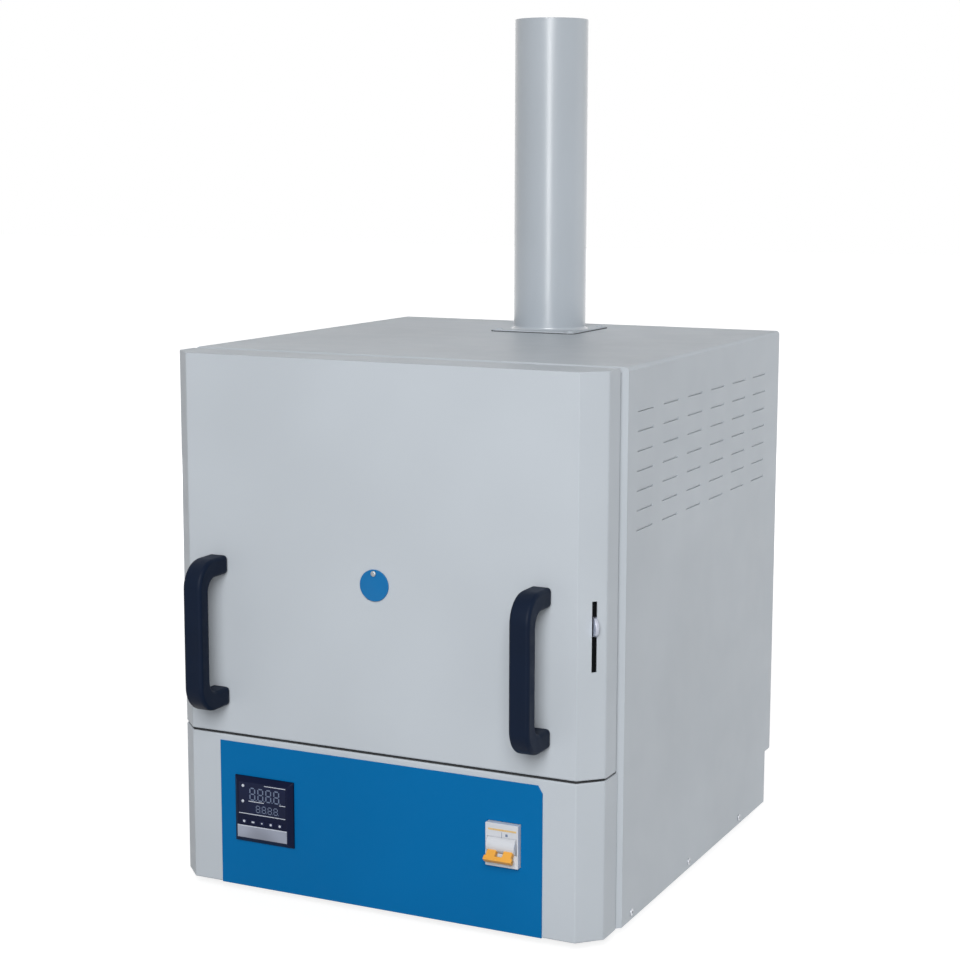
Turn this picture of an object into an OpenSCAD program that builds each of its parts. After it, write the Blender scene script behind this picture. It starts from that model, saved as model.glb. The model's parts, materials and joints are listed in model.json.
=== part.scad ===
// Laboratory muffle furnace with a parallel-lift door and a rear chimney.
// Frame: +X right, +Y to the back, +Z up. Origin on the floor, under the middle of the whole.
// Inside the modules y = 0 is the door's front face; placed() moves them into the frame.

/* [Cabinet] */
// Width of the cabinet
cab_w = 500; // [460:1:560]
// Height of the cabinet without its feet
cab_h = 572; // [510:1:640]
// Length of the cabinet's sides
cab_d = 463; // [415:1:520]
// Thickness of the folded steel sheet
sheet = 1.5; // [1:0.1:2]
// Outer radius of the cabinet's top bends
bend_r = 4; // [2.5:0.5:8]
// Bevel folded round the cabinet's front edge
bevel = 7; // [4:0.5:9]
// Depth of the rear cover behind the cabinet
rear_cover_d = 18; // [18:0.5:30]
// Height of the rear cover's lower edge over the cabinet's lower edge
rear_cover_rise = 61; // [56:1:90]

/* [Feet] */
// Height of each rubber foot
foot_h = 10; // [6:0.5:20]
// Radius of each rubber foot
foot_r = 16; // [10:0.5:22]
// Distance from the cabinet's sides and ends to a foot's centre
foot_inset = 50; // [30:1:90]

/* [Front] */
// Distance from the door's face to the cabinet's front edge
front_d = 61; // [60:1:70]
// Gap between the door's side and the plane of the cabinet's side
front_inset = 4; // [3:0.5:6]
// Width of the 45 degree chamfer down each side of the door and the fascia
chamfer = 22; // [20:0.5:24]
// Height of the control fascia
fascia_h = 163; // [150:1:175]
// Gap between the fascia and the door
seam = 4; // [3:0.5:8]
// Gap between the door's folded edge and the cabinet's bevel
door_gap = 4.5; // [3.5:0.5:8]
// Depth of the door's bottom fold
door_hem = 26; // [10:1:28]

/* [Chamber] */
// Width of the chamber inside the muffle
chamber_w = 200; // [160:1:210]
// Height of the chamber inside the muffle
chamber_h = 130; // [100:1:145]
// Length of the chamber inside the muffle
chamber_d = 350; // [300:1:390]
// Depth of the chamber's centre below the cabinet's top
chamber_z = 228.5; // [220:0.5:240]
// Wall of the ceramic muffle
muffle_wall = 10; // [6:0.5:14]
// Thickness of the insulation over the muffle
insulation = 75; // [60:1:90]
// Thickness of the insulation beside the muffle
side_insulation = 71; // [45:1:76]
// Depth of the space between the face plate and the muffle
front_space = 37.5; // [35:0.5:45]
// Rim of the mouth collar round the chamber, at the sides and above and below
collar_rim = 50; // [40:1:50]
// Distance that the collar stands out of the face plate
collar_reach = 15; // [8:0.5:20]
// Thickness of the hearth plate
hearth_t = 8; // [5:0.5:12]

/* [Heating] */
// Diameter of the heating rod
heater_rod = 6; // [3:0.5:8]
// Space for the heating rods beside the muffle
heater_space = 9; // [8.5:0.5:12]
// Straight runs of each heating element
heater_runs = 6; // [4:2:8]
// Radius of the thermocouple's sheath
probe_r = 4; // [2:0.5:6]
// Reach of the thermocouple into the chamber
probe_reach = 40; // [15:1:80]

/* [Chimney] */
// Outer diameter of the chimney tube
chimney_od = 85; // [60:1:96]
// Height of the chimney over the cabinet
chimney_h = 360; // [150:1:500]
// Wall of the chimney tube
chimney_wall = 1.5; // [1:0.1:3]
// Side of the square flange
flange_w = 106; // [104:1:130]
// Thickness of the square flange
flange_t = 2; // [1:0.5:4]
// Distance from the chamber's back wall to the axis of the flue and the chimney
flue_set = 14; // [13:0.5:60]
// Least distance from the flange to the cabinet's rear edge
flange_margin = 10; // [6:1:30]
// Inner radius of the ceramic flue between chamber and chimney
flue_r = 12; // [8:0.5:14]
// Wall of the ceramic flue
flue_wall = 5; // [3:0.5:6]

/* [Door lift] */
// Length of the lift arms between their pivots
arm_l = 165; // [145:1:172]
// Width of the lift arms
arm_w = 18; // [14:0.5:18]
// Thickness of the lift arms
arm_t = 6; // [4:0.5:7]
// Distance from the chamfer's front bend to the inner side of an arm
arm_set = 18; // [16:1:22]
// Distance between the main arm's and the idler's pivots
pivot_gap = 90; // [60:1:96]
// Distance from the door's face to the door pivots
door_pivot_y = 14; // [13:0.5:16]
// Distance from the face plate's back to the rear pivots
rear_pivot_set = 22.5; // [20:0.5:24]
// Height of the lift shaft over the mouth collar
shaft_rise = 15.5; // [12:0.5:18]
// Radius of the lift shaft
shaft_r = 7; // [5:0.5:8]
// Radius of the pivot pins
pin_r = 5; // [3:0.5:6]
// Radius of the arms' rounded ends
hub_r = 11; // [10:0.5:12]
// Wire diameter of the balance spring
spring_wire = 3.5; // [2:0.5:4]
// Turns of the balance spring
spring_turns = 8; // [4:1:10]

/* [Handles] */
// Distance from the chamfer's front bend to a handle's middle
handle_set = 38; // [28:1:56]
// Height of the handles' middle over the door's lower edge
handle_rise = 112; // [95:1:150]
// Length of a handle
handle_l = 162; // [120:1:180]
// Reach of a handle in front of the door
handle_reach = 55; // [45:1:70]
// Width of a handle's grip
handle_w = 22; // [16:0.5:26]
// Depth of a handle's grip
grip_d = 18; // [12:0.5:22]
// Height of a handle's leg
leg_h = 20; // [14:0.5:26]
// Outer corner radius of a handle
handle_r = 22; // [8:0.5:24]
// Inner corner radius of a handle
handle_fillet = 8; // [3:0.5:10]

/* [Peephole] */
// Inner radius of the peephole
peep_r = 8; // [5:0.5:10]
// Wall of the peephole tube
peep_wall = 2.5; // [1.5:0.5:4]
// Rim of the swivel cover beyond its pivot screw
cover_rim = 4; // [3:0.5:8]
// Thickness of the swivel cover
cover_t = 2; // [1:0.5:4]
// Radius of the cover's pivot screw
cover_screw_r = 1.5; // [1:0.25:2.5]

/* [Air slider] */
// Length of the air slider's slot
slot_l = 71; // [50:1:90]
// Width of the air slider's slot
slot_w = 5.5; // [4.5:0.5:8]
// Height of the slot's middle over the door's lower edge
slot_rise = 144.5; // [123:0.5:170]
// Distance from the front bend of the chamfer to the slot's middle
slot_set = 18; // [14:0.5:19]
// Height of the slider's thumb tab
tab_h = 21; // [12:0.5:26]
// Thickness of the slider's thumb tab
tab_t = 3.5; // [2:0.5:4]
// Height of the thumb tab over the slot's middle when at rest
tab_rest = 10; // [0:0.5:12]
// Width of the sliding shutter behind the slot
shutter_w = 13; // [9:0.5:14]

/* [Controls] */
// Width of the coloured fascia plate
plate_w = 377; // [340:1:400]
// Height of the coloured fascia plate
plate_h = 158; // [140:1:160]
// Thickness of the coloured fascia plate
plate_t = 1.5; // [0.8:0.1:2]
// Side of the temperature controller's square bezel
bezel_w = 72; // [66:1:80]
// Slope of the controller's bezel on each side
bezel_taper = 5; // [3:0.5:6]
// Depth of the controller's bezel
bezel_d = 7; // [6:0.5:12]
// Side of the controller's body behind the fascia
case_w = 67; // [56:0.5:67]
// Length of the controller's body behind the fascia
case_d = 78; // [60:1:110]
// Distance from the coloured plate's left edge to the controller's centre
controller_set = 55.5; // [42:0.5:70]
// Height of the controller's centre over the cabinet's lower edge
controller_z = 87; // [70:1:100]
// Width of a controller key
key_w = 6; // [4:0.5:7]
// Height of a controller key
key_h = 4.5; // [3:0.5:5]
// Distance between neighbouring controller keys
key_pitch = 11; // [9:0.5:12]
// Travel of a controller key
key_travel = 0.8; // [0.4:0.1:1.2]
// Distance from the coloured plate's right edge to the circuit breaker's centre
breaker_set = 41.5; // [30:0.5:60]
// Height of the circuit breaker's centre over the cabinet's lower edge
breaker_z = 92.5; // [80:0.5:100]
// Width of the circuit breaker
breaker_w = 36; // [34:0.5:54]
// Height of the circuit breaker's front
breaker_h = 45; // [40:0.5:50]
// Reach of the circuit breaker in front of the fascia plate
breaker_reach = 6; // [4:0.5:9]
// Angle of the toggle below level when off
toggle_off = 45; // [20:1:46]
// Width of the relay's heat sink
sink_w = 90; // [70:1:120]
// Length of the relay's heat sink
sink_l = 100; // [70:1:140]
// Height of the relay's heat sink
sink_h = 46; // [30:1:60]
// Fins of the relay's heat sink
sink_fins = 9; // [5:1:12]

/* [Vents and fasteners] */
// Rows of vent slits in the right side
vent_rows = 7; // [1:1:9]
// Columns of vent slits in the right side
vent_cols = 6; // [1:1:6]
// Distance between rows of vent slits
vent_row_pitch = 20; // [12:1:28]
// Length of a vent slit
vent_l = 44; // [20:1:50]
// Height of a vent slit
vent_h = 3.5; // [2:0.5:6]
// Distance from the cabinet's top to the first row of vent slits
vent_top = 47; // [30:1:70]
// Distance from the cabinet's front edge to the first vent slit
vent_front = 26; // [15:1:34]
// Distance from the last vent slit to the cabinet's rear edge
vent_rear = 33; // [20:1:60]
// Radius of a case screw's shank
screw_r = 2; // [1.5:0.25:2.5]
// Height of the side screws over the cabinet's lower edge
side_screw_z = 8; // [7:0.5:16]
// Distance from the cabinet's front edge to the first side screw
side_screw_front = 26; // [15:1:40]
// Distance from the last side screw to the cabinet's rear edge
side_screw_rear = 95; // [20:1:120]
// Distance from a corner of the rear cover to its screw, each way
rear_screw_inset = 14; // [10:1:24]
// Distance from the cabinet's right side to the cable gland's axis
gland_inset = 70; // [50:1:120]
// Height of the cable gland's axis over the cabinet's lower edge
gland_rise = 30; // [26:1:34]
// Wall of the cable gland
gland_wall = 3; // [2:0.5:4]
// Radius of the hole through the cable gland
gland_bore = 5; // [3:0.5:6]

/* [Hidden] */
$fn = 48;

// Clearances
touch_gap = 0.3;
run_fit = 0.05;
cut = 1;
head_t = 1.6;

// Cabinet planes
cab_x = cab_w / 2;
floor_z = foot_h;
top_z = floor_z + cab_h;
back_y = front_d + cab_d;
inner_x = cab_x - sheet;
inner_top = top_z - sheet;
plate_back = front_d + sheet;
wall_y = back_y - sheet;
divider_z = floor_z + fascia_h;
deck_z = divider_z + sheet;
depth = handle_reach + back_y + rear_cover_d;
y_shift = -(back_y + rear_cover_d - handle_reach) / 2;
screw_head_r = screw_r * 2;
flange_up = 24;

// Door
door_x = cab_x - front_inset;
flat_x = door_x - chamfer;
door_z0 = divider_z + seam;
door_top_gap = 0.5;
door_z1 = top_z - door_top_gap;
door_y1 = front_d - bevel - door_gap;

// Chamber and insulation
rear_space = 2.5;
mid_z = top_z - chamber_z;
muffle_x = chamber_w / 2 + muffle_wall;
muffle_z = chamber_h / 2 + muffle_wall;
muffle_y0 = plate_back + front_space;
muffle_y1 = muffle_y0 + chamber_d + muffle_wall;
block_y1 = wall_y - rear_space;
block_top = mid_z + muffle_z + insulation;
block_x = muffle_x + heater_space + side_insulation;
collar_x = chamber_w / 2 + collar_rim;
collar_z = chamber_h / 2 + collar_rim;
collar_y0 = front_d - collar_reach;
hearth_side_gap = 2;
chimney_y = min(muffle_y1 - muffle_wall - flue_set, back_y - flange_margin - flange_w / 2);
chimney_neck_r = chimney_od / 2 - 4;
shoulder_z = top_z + flange_t;

heater_end_y = 30;
heater_end_z = 15;

// Door lift, seen from the side: the arms start steep and end as steep the other way
rear_pivot_y = plate_back + rear_pivot_set;
main_z = mid_z + collar_z + shaft_rise;
idler_z = main_z - pivot_gap;
rest_angle = acos((rear_pivot_y - door_pivot_y) / arm_l);
drop = arm_l * sin(rest_angle);
arm_x = flat_x - arm_set;
arm_side = arm_x + arm_t;
bracket_t = 3;
bracket_x = arm_side + bracket_t;
bracket_tail = 15;
bracket_end = 16;
bracket_foot = 18;
pin_head_t = 2;
pin_head_r = pin_r + 3;
window_w = arm_t + 8;
window_z1 = main_z + rear_pivot_set * tan(rest_angle) + arm_w / 2 / cos(rest_angle) + 6;
window_z0 = idler_z - (rear_pivot_set + sheet) * tan(rest_angle) - arm_w / 2 / cos(rest_angle) - 6;

// Door inside
liner_y = 10;
handle_x = flat_x - handle_set;
handle_z = door_z0 + handle_rise;
handle_screw_r = 3;
handle_screw_head = 3;
liner_x = handle_x - 2 * handle_screw_r - 4;
liner_margin = 22;
pad_y1 = collar_y0 - touch_gap;

// Peephole
cover_pivot = peep_r + peep_wall + cover_screw_r + 0.5;
cover_r = cover_pivot + cover_rim;
cover_pivot_z = mid_z + cover_pivot;

// Air slider, on the right chamfer
slider_z = door_z0 + slot_rise;
shutter_t = 1.5;
shutter_l = 150;
guide_wall = 1.5;
guide_l = shutter_l + 10;

// Controls
plate_x = plate_w / 2;
controller_x = plate_x - controller_set;
breaker_x = plate_x - breaker_set;
ctrl_z = floor_z + controller_z;
brk_z = floor_z + breaker_z;
face_y = -plate_t - bezel_d;
brk_face = -plate_t - breaker_reach;
plate_cut_w = 5;
plate_cut_h = 8;
bezel_rim = 2;
display_w = 58;
display_h = 36;
display_rise = 13;
display_t = 1.2;
key_drop = 12;
key_z = ctrl_z - key_drop;
key_proud = 0.6;
key_body = 2.4;
toggle_r = 9;
toggle_y = brk_face + 4;
toggle_l = 20;
toggle_t = 6;
breaker_body_h = 82;
breaker_d = 58;
rail_h = 35;
rail_half = breaker_w / 2 + 16;
rail_post = 8;
sink_x = -20;
sink_set = 120;
sink_y = front_d + sink_set;
sink_base = 6;
sink_fin_t = 4;
relay_w = 44;
relay_l = 58;
relay_h = 23;
gland_x = cab_x - gland_inset;
gland_z = floor_z + gland_rise;
gland_nut = 4;

// A rectangle with round corners, centred on the origin
module round_rect(w, h, r) {
    square([w - 2 * r, h], center = true);
    square([w, h - 2 * r], center = true);
    for (x = [-1, 1], y = [-1, 1])
        translate([x * (w / 2 - r), y * (h / 2 - r)]) circle(r);
}

// Moves a piece from the door face's frame to the frame of the whole
module placed() {
    translate([0, y_shift, 0]) children();
}

// A flat outline in X and Z, given depth along Y
module deep(y0, y1) {
    translate([0, y1, 0]) rotate([90, 0, 0]) linear_extrude(y1 - y0) children();
}

// A box between two corners
module box(x0, x1, y0, y1, z0, z1) {
    translate([x0, y0, z0]) cube([x1 - x0, y1 - y0, z1 - z0]);
}

// A rod along Y
module rod_y(x, z, r, y0, y1) {
    translate([x, y1, z]) rotate([90, 0, 0]) cylinder(h = y1 - y0, r = r);
}

// A rod along X
module rod_x(y, z, r, x0, x1) {
    translate([x0, y, z]) rotate([0, 90, 0]) cylinder(h = x1 - x0, r = r);
}

// The plan of the door and the fascia: flat front, chamfers, straight sides
module front_plan(y1, inset) {
    n = inset * tan(22.5);
    polygon([[-door_x + inset, y1], [-door_x + inset, chamfer + n], [-flat_x + n, inset],
        [flat_x - n, inset], [door_x - inset, chamfer + n], [door_x - inset, y1]]);
}

// ---- Cabinet ----

// Folded cover of both sides and the top, with a bevelled front edge and vent slits
module shell() {
    color("#b9bec2") placed() difference() {
        intersection() {
            deep(front_d - bevel, back_y)
                translate([0, floor_z + cab_h / 2]) union() {
                    round_rect(cab_w, cab_h, bend_r);
                    translate([-cab_x, -cab_h / 2]) square([cab_w, cab_h / 2]);
                }
            union() {
                box(-cab_x, cab_x, front_d, back_y, floor_z, top_z);
                translate([0, 0, floor_z]) linear_extrude(cab_h)
                    polygon([[-cab_x, front_d], [-cab_x + bevel, front_d - bevel],
                        [cab_x - bevel, front_d - bevel], [cab_x, front_d]]);
            }
            translate([-cab_x, 0, 0]) rotate([90, 0, 90]) linear_extrude(cab_w)
                polygon([[front_d - bevel, floor_z], [back_y, floor_z], [back_y, top_z],
                    [front_d, top_z], [front_d - bevel, top_z - bevel]]);
        }
        box(-inner_x, inner_x, front_d, back_y + cut, floor_z - cut, inner_top);
        box(-cab_x + bevel, cab_x - bevel, 0, back_y, floor_z - cut, top_z - bevel);
        translate([0, chimney_y, top_z - sheet - cut])
            cylinder(h = sheet + 2 * cut, r = chimney_neck_r + run_fit);
        for (row = [0 : vent_rows - 1], y = vent_ys)
            translate([inner_x - cut, y,
                top_z - vent_top - row * vent_row_pitch])
                cube([sheet + 2 * cut, vent_l, vent_h]);
        for (side = [-1, 1], y = side_screw_ys)
            rod_x(y, floor_z + side_screw_z, screw_r + run_fit, side * cab_x - 4, side * cab_x + 4);
        for (x = flange_screw_xs, y = flange_screw_ys)
            translate([x, y, top_z - sheet - cut])
                cylinder(h = sheet + 2 * cut, r = screw_r + run_fit);
    }
}

vent_col_pitch = (cab_d - vent_front - vent_rear - vent_l) / max(vent_cols - 1, 1);
vent_ys = [for (i = [0 : vent_cols - 1]) front_d + vent_front + i * vent_col_pitch];
side_screw_pitch = (cab_d - side_screw_front - side_screw_rear) / 2;
side_screw_ys = [for (i = [0 : 2]) front_d + side_screw_front + i * side_screw_pitch];
flange_screw_set = flange_w / 2 - 2 * screw_head_r;
flange_screw_xs = [-flange_screw_set, flange_screw_set];
flange_screw_ys = [chimney_y - flange_screw_set, chimney_y + flange_screw_set];
foot_ys = [front_d + foot_inset, back_y - foot_inset];
rear_screw_xs = [-cab_x + rear_screw_inset, cab_x - rear_screw_inset];
rear_screw_zs = [floor_z + rear_cover_rise + rear_screw_inset, top_z - rear_screw_inset];

// Floor of the cabinet with flanges up both sides
module base_tray() {
    color("#9aa0a4") placed() difference() {
        box(-inner_x, inner_x, front_d, wall_y, floor_z, floor_z + flange_up);
        box(-inner_x + sheet, inner_x - sheet, 0, back_y, floor_z + sheet, top_z);
        for (side = [-1, 1], y = side_screw_ys)
            rod_x(y, floor_z + side_screw_z, screw_r + run_fit, side * inner_x - 4, side * inner_x + 4);
    }
}

// Sheet across the back of the cabinet
module rear_panel() {
    color("#9aa0a4") placed() difference() {
        box(-inner_x, inner_x, wall_y, back_y, floor_z, inner_top);
        rod_y(gland_x, gland_z, gland_bore + gland_wall + run_fit, wall_y - cut, back_y + cut);
        rod_y(0, mid_z, probe_r + run_fit, wall_y - cut, back_y + cut);
        for (x = rear_screw_xs, z = rear_screw_zs)
            rod_y(x, z, screw_r + run_fit, wall_y - cut, back_y + cut);
    }
}

// Shallow pan that doubles the upper part of the back
module rear_cover() {
    z0 = floor_z + rear_cover_rise;
    h = top_z - z0;
    color("#b9bec2") placed() difference() {
        deep(back_y, back_y + rear_cover_d)
            translate([0, z0 + h / 2]) round_rect(cab_w, h, bend_r);
        deep(back_y - cut, back_y + rear_cover_d - sheet)
            translate([0, z0 + h / 2]) round_rect(cab_w - 2 * sheet, h - 2 * sheet, bend_r - sheet);
    }
    // Corner blocks that take the case screws
    color("#b9bec2") placed() for (x = rear_screw_xs, z = rear_screw_zs)
        difference() {
            box(x - rear_block, x + rear_block, back_y, back_y + rear_cover_d - sheet,
                z - rear_block, z + rear_block);
            rod_y(x, z, screw_r + run_fit, back_y - cut, back_y + rear_screw_l + run_fit);
        }
}

rear_screw_l = 8;
rear_block = rear_screw_inset / 2;

// Steel face behind the door, with the mouth and two windows for the lift arms
module face_plate() {
    color("#a9adb0") placed() difference() {
        box(-inner_x, inner_x, front_d, plate_back, deck_z, inner_top);
        box(-collar_x - touch_gap, collar_x + touch_gap, 0, back_y,
            mid_z - collar_z - touch_gap, mid_z + collar_z + touch_gap);
        for (side = [-1, 1])
            box(side * (arm_x + arm_t / 2) - window_w / 2, side * (arm_x + arm_t / 2) + window_w / 2,
                0, back_y, window_z0, window_z1);
    }
}

// Shelf between the controls and the furnace
module divider() {
    color("#9aa0a4") placed()
        box(-inner_x, inner_x, front_d, wall_y, divider_z, deck_z);
}

// Folded control fascia with chamfered sides
module fascia() {
    color("#b9bec2") placed() difference() {
        union() {
            difference() {
                translate([0, 0, floor_z]) linear_extrude(fascia_h + sheet)
                    front_plan(front_d - bevel, 0);
                translate([0, 0, floor_z + sheet]) linear_extrude(fascia_h - sheet)
                    front_plan(front_d, sheet);
            }
            for (z = [floor_z, divider_z])
                box(-cab_x + bevel, cab_x - bevel, front_d - bevel, front_d, z, z + sheet);
        }
        box(-controller_x - case_w / 2 - touch_gap, -controller_x + case_w / 2 + touch_gap,
            -cut, 3, ctrl_z - case_w / 2 - touch_gap, ctrl_z + case_w / 2 + touch_gap);
        box(breaker_x - breaker_w / 2 - touch_gap, breaker_x + breaker_w / 2 + touch_gap,
            -cut, 3, brk_z - breaker_h / 2 - touch_gap, brk_z + breaker_h / 2 + touch_gap);
    }
}

// Coloured plate on the fascia, with one small cut corner
module fascia_plate() {
    x = plate_x;
    z1 = floor_z + plate_h;
    color("#0a64a5") placed() difference() {
        deep(-plate_t, 0)
            polygon([[-x, floor_z], [x, floor_z], [x, z1 - plate_cut_h], [x - plate_cut_w, z1], [-x, z1]]);
        box(-controller_x - case_w / 2 - touch_gap, -controller_x + case_w / 2 + touch_gap,
            -9, 3, ctrl_z - case_w / 2 - touch_gap, ctrl_z + case_w / 2 + touch_gap);
        box(breaker_x - breaker_w / 2 - touch_gap, breaker_x + breaker_w / 2 + touch_gap,
            -9, 3, brk_z - breaker_h / 2 - touch_gap, brk_z + breaker_h / 2 + touch_gap);
    }
}

// Four rubber feet under the tray
module feet() {
    color("#202226") placed()
        for (side = [-1, 1], y = foot_ys)
            translate([side * (cab_x - foot_inset), y, 0]) cylinder(h = foot_h, r = foot_r);
}

// A dome-headed case screw along +Z with its head's seat at the origin
module case_screw(l) {
    cylinder(h = head_t, r = screw_head_r);
    translate([0, 0, -l]) cylinder(h = l + head_t / 2, r = screw_r);
}

// Screws along the foot of both sides
module side_screws() {
    color("#c4c8cc") placed()
        for (side = [-1, 1], y = side_screw_ys)
            translate([side * cab_x, y, floor_z + side_screw_z]) rotate([0, side * 90, 0])
                case_screw(2 * sheet + 2);
}

// Screws that hold the rear cover, driven from inside the back
module rear_screws() {
    color("#c4c8cc") placed()
        for (x = rear_screw_xs, z = rear_screw_zs)
            translate([x, wall_y, z]) rotate([90, 0, 0]) case_screw(sheet + rear_screw_l);
}

// ---- Furnace chamber ----

// Ceramic box that is closed at the back, with a flue hole in its roof
module muffle() {
    color("#e6dccb") placed() difference() {
        box(-muffle_x, muffle_x, muffle_y0, muffle_y1, mid_z - muffle_z, mid_z + muffle_z);
        box(-chamber_w / 2, chamber_w / 2, muffle_y0 - cut, muffle_y1 - muffle_wall,
            mid_z - chamber_h / 2, mid_z + chamber_h / 2);
        translate([0, chimney_y, mid_z]) cylinder(h = muffle_z + cut, r = flue_r);
        rod_y(0, mid_z, probe_r + run_fit, muffle_y1 - muffle_wall - cut, muffle_y1 + cut);
    }
}

// Insulation over the muffle, with the flue's hole
module insulation_top() {
    color("#f2efe6") placed() difference() {
        box(-block_x, block_x, muffle_y0, block_y1, mid_z + muffle_z, block_top);
        translate([0, chimney_y, mid_z + muffle_z - cut])
            cylinder(h = insulation + 2 * cut, r = flue_r + flue_wall + run_fit);
    }
}

// Insulation under the muffle, down to the shelf
module insulation_base() {
    color("#f2efe6") placed()
        box(-block_x, block_x, muffle_y0, block_y1, deck_z, mid_z - muffle_z);
}

// Insulation beside the muffle
module insulation_side(side) {
    color("#f2efe6") placed() translate([side * (muffle_x + heater_space + block_x) / 2, 0, 0])
        box(-(block_x - muffle_x - heater_space) / 2, (block_x - muffle_x - heater_space) / 2,
            muffle_y0, muffle_y1, mid_z - muffle_z, mid_z + muffle_z);
}

module insulation_left() { insulation_side(-1); }

module insulation_right() { insulation_side(1); }

// Insulation behind the muffle
module insulation_rear() {
    color("#f2efe6") placed() difference() {
        box(-block_x, block_x, muffle_y1, block_y1, mid_z - muffle_z, mid_z + muffle_z);
        rod_y(0, mid_z, probe_r + run_fit, muffle_y1 - cut, block_y1 + cut);
    }
}

// Refractory collar round the chamber's mouth
module mouth_collar() {
    color("#ebe4d6") placed() difference() {
        box(-collar_x, collar_x, collar_y0, muffle_y0, mid_z - collar_z, mid_z + collar_z);
        box(-chamber_w / 2, chamber_w / 2, 0, back_y, mid_z - chamber_h / 2, mid_z + chamber_h / 2);
    }
}

// Loose ceramic plate on the chamber's floor
module hearth_plate() {
    x = chamber_w / 2 - hearth_side_gap;
    z = mid_z - chamber_h / 2;
    color("#d9cdb8") placed()
        box(-x, x, muffle_y0 + 2, muffle_y1 - muffle_wall - 2, z, z + hearth_t);
}

// Heating rod folded to and fro beside the muffle
module heater(side) {
    x = side * (muffle_x + heater_rod / 2);
    r = heater_rod / 2;
    pitch = 2 * (muffle_z - heater_end_z) / (heater_runs - 1);
    z0 = mid_z - muffle_z + heater_end_z;
    y0 = muffle_y0 + heater_end_y;
    y1 = muffle_y1 - heater_end_y;
    color("#6b5a4e") placed() {
        for (i = [0 : heater_runs - 1])
            rod_y(x, z0 + i * pitch, r, y0, y1);
        for (i = [0 : heater_runs - 2])
            translate([x, i % 2 == 0 ? y1 : y0, z0 + (i + 0.5) * pitch]) rotate([0, 90, 0])
                rotate([0, 0, i % 2 == 0 ? 0 : 180]) rotate_extrude(angle = 180)
                    translate([pitch / 2, 0]) circle(r);
    }
}

module heater_left() { heater(-1); }

module heater_right() { heater(1); }

// Sheathed probe through the back wall
module thermocouple() {
    color("#b7b2a8") placed() {
        rod_y(0, mid_z, probe_r, muffle_y1 - muffle_wall - probe_reach, back_y + 6);
        rod_y(0, mid_z, probe_r + 5, back_y, back_y + 12);
    }
}

// Ceramic flue from the chamber's roof into the chimney
module flue() {
    color("#e6dccb") placed() translate([0, chimney_y, mid_z + muffle_z]) difference() {
        cylinder(h = insulation, r = flue_r + flue_wall);
        translate([0, 0, -cut]) cylinder(h = insulation + 2 * cut, r = flue_r);
    }
}

// Polished chimney tube: its neck stands on the insulation and its shoulder on the flange
module chimney() {
    color("#c9ccd0") placed() translate([0, chimney_y, 0]) difference() {
        union() {
            translate([0, 0, block_top]) cylinder(h = shoulder_z + cut - block_top, r = chimney_neck_r);
            translate([0, 0, shoulder_z]) cylinder(h = top_z + chimney_h - shoulder_z, r = chimney_od / 2);
        }
        translate([0, 0, block_top - cut])
            cylinder(h = shoulder_z + 2 * chimney_wall + cut - block_top, r = chimney_neck_r - chimney_wall);
        translate([0, 0, shoulder_z + chimney_wall])
            cylinder(h = chimney_h, r = chimney_od / 2 - chimney_wall);
    }
}

// Square flange round the chimney
module chimney_flange() {
    color("#b9bec2") placed() difference() {
        translate([0, chimney_y, top_z + flange_t / 2])
            cube([flange_w, flange_w, flange_t], center = true);
        translate([0, chimney_y, top_z - cut])
            cylinder(h = flange_t + 2 * cut, r = chimney_neck_r + run_fit);
        for (x = flange_screw_xs, y = flange_screw_ys)
            translate([x, y, top_z - cut]) cylinder(h = flange_t + 2 * cut, r = screw_r + run_fit);
    }
}

// Screws of the chimney flange
module flange_screws() {
    color("#c4c8cc") placed()
        for (x = flange_screw_xs, y = flange_screw_ys)
            translate([x, y, top_z + flange_t]) case_screw(flange_t + sheet + 4);
}

// ---- Door ----

// Moves a shape to the front bend of the right chamfer, with X along the chamfer
module on_chamfer() {
    translate([flat_x, 0, 0]) rotate([0, 0, 45]) children();
}

// Folded door pan with chamfered sides
module door_shell() {
    color("#c0c5c9") placed() difference() {
        translate([0, 0, door_z0]) linear_extrude(door_z1 - door_z0) front_plan(door_y1, 0);
        translate([0, 0, door_z0 + sheet]) linear_extrude(door_z1 - door_z0 - 2 * sheet)
            front_plan(door_y1 + cut, sheet);
        box(-door_x + sheet, door_x - sheet, door_hem, door_y1 + cut, door_z0 - cut, door_z0 + 2 * sheet);
        rod_y(0, mid_z, peep_r + peep_wall + run_fit, -cut, 3);
        rod_y(0, cover_pivot_z, cover_screw_r + run_fit, -cut, 3);
        on_chamfer() box(slot_set - slot_w / 2, slot_set + slot_w / 2, -cut, 3,
            slider_z - slot_l / 2, slider_z + slot_l / 2);
        for (side = [-1, 1], end = [-1, 1])
            rod_y(side * handle_x, handle_z + end * (handle_l - leg_h) / 2,
                handle_screw_r, -cut, 2 * sheet);
    }
}

// Folded carrier of the door's insulation
module door_liner() {
    z0 = door_z0 + liner_margin;
    z1 = door_z1 - liner_margin;
    color("#9aa0a4") placed() difference() {
        box(-liner_x, liner_x, sheet, liner_y + sheet, z0, z1);
        box(-liner_x + sheet, liner_x - sheet, 0, liner_y, z0 - cut, z1 + cut);
        rod_y(0, mid_z, peep_r + peep_wall + run_fit, 0, liner_y + 3);
    }
}

// Insulation pad that covers the mouth collar
module door_insulation() {
    color("#f2efe6") placed() difference() {
        box(-collar_x, collar_x, liner_y + sheet, pad_y1, mid_z - collar_z, mid_z + collar_z);
        rod_y(0, mid_z, peep_r + peep_wall + run_fit, 0, collar_y0);
    }
}

// Ceramic tube through the door for looking into the chamber
module peephole_tube() {
    color("#e6dccb") placed() difference() {
        rod_y(0, mid_z, peep_r + peep_wall, 0, pad_y1);
        rod_y(0, mid_z, peep_r, -cut, collar_y0 + cut);
    }
}

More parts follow.
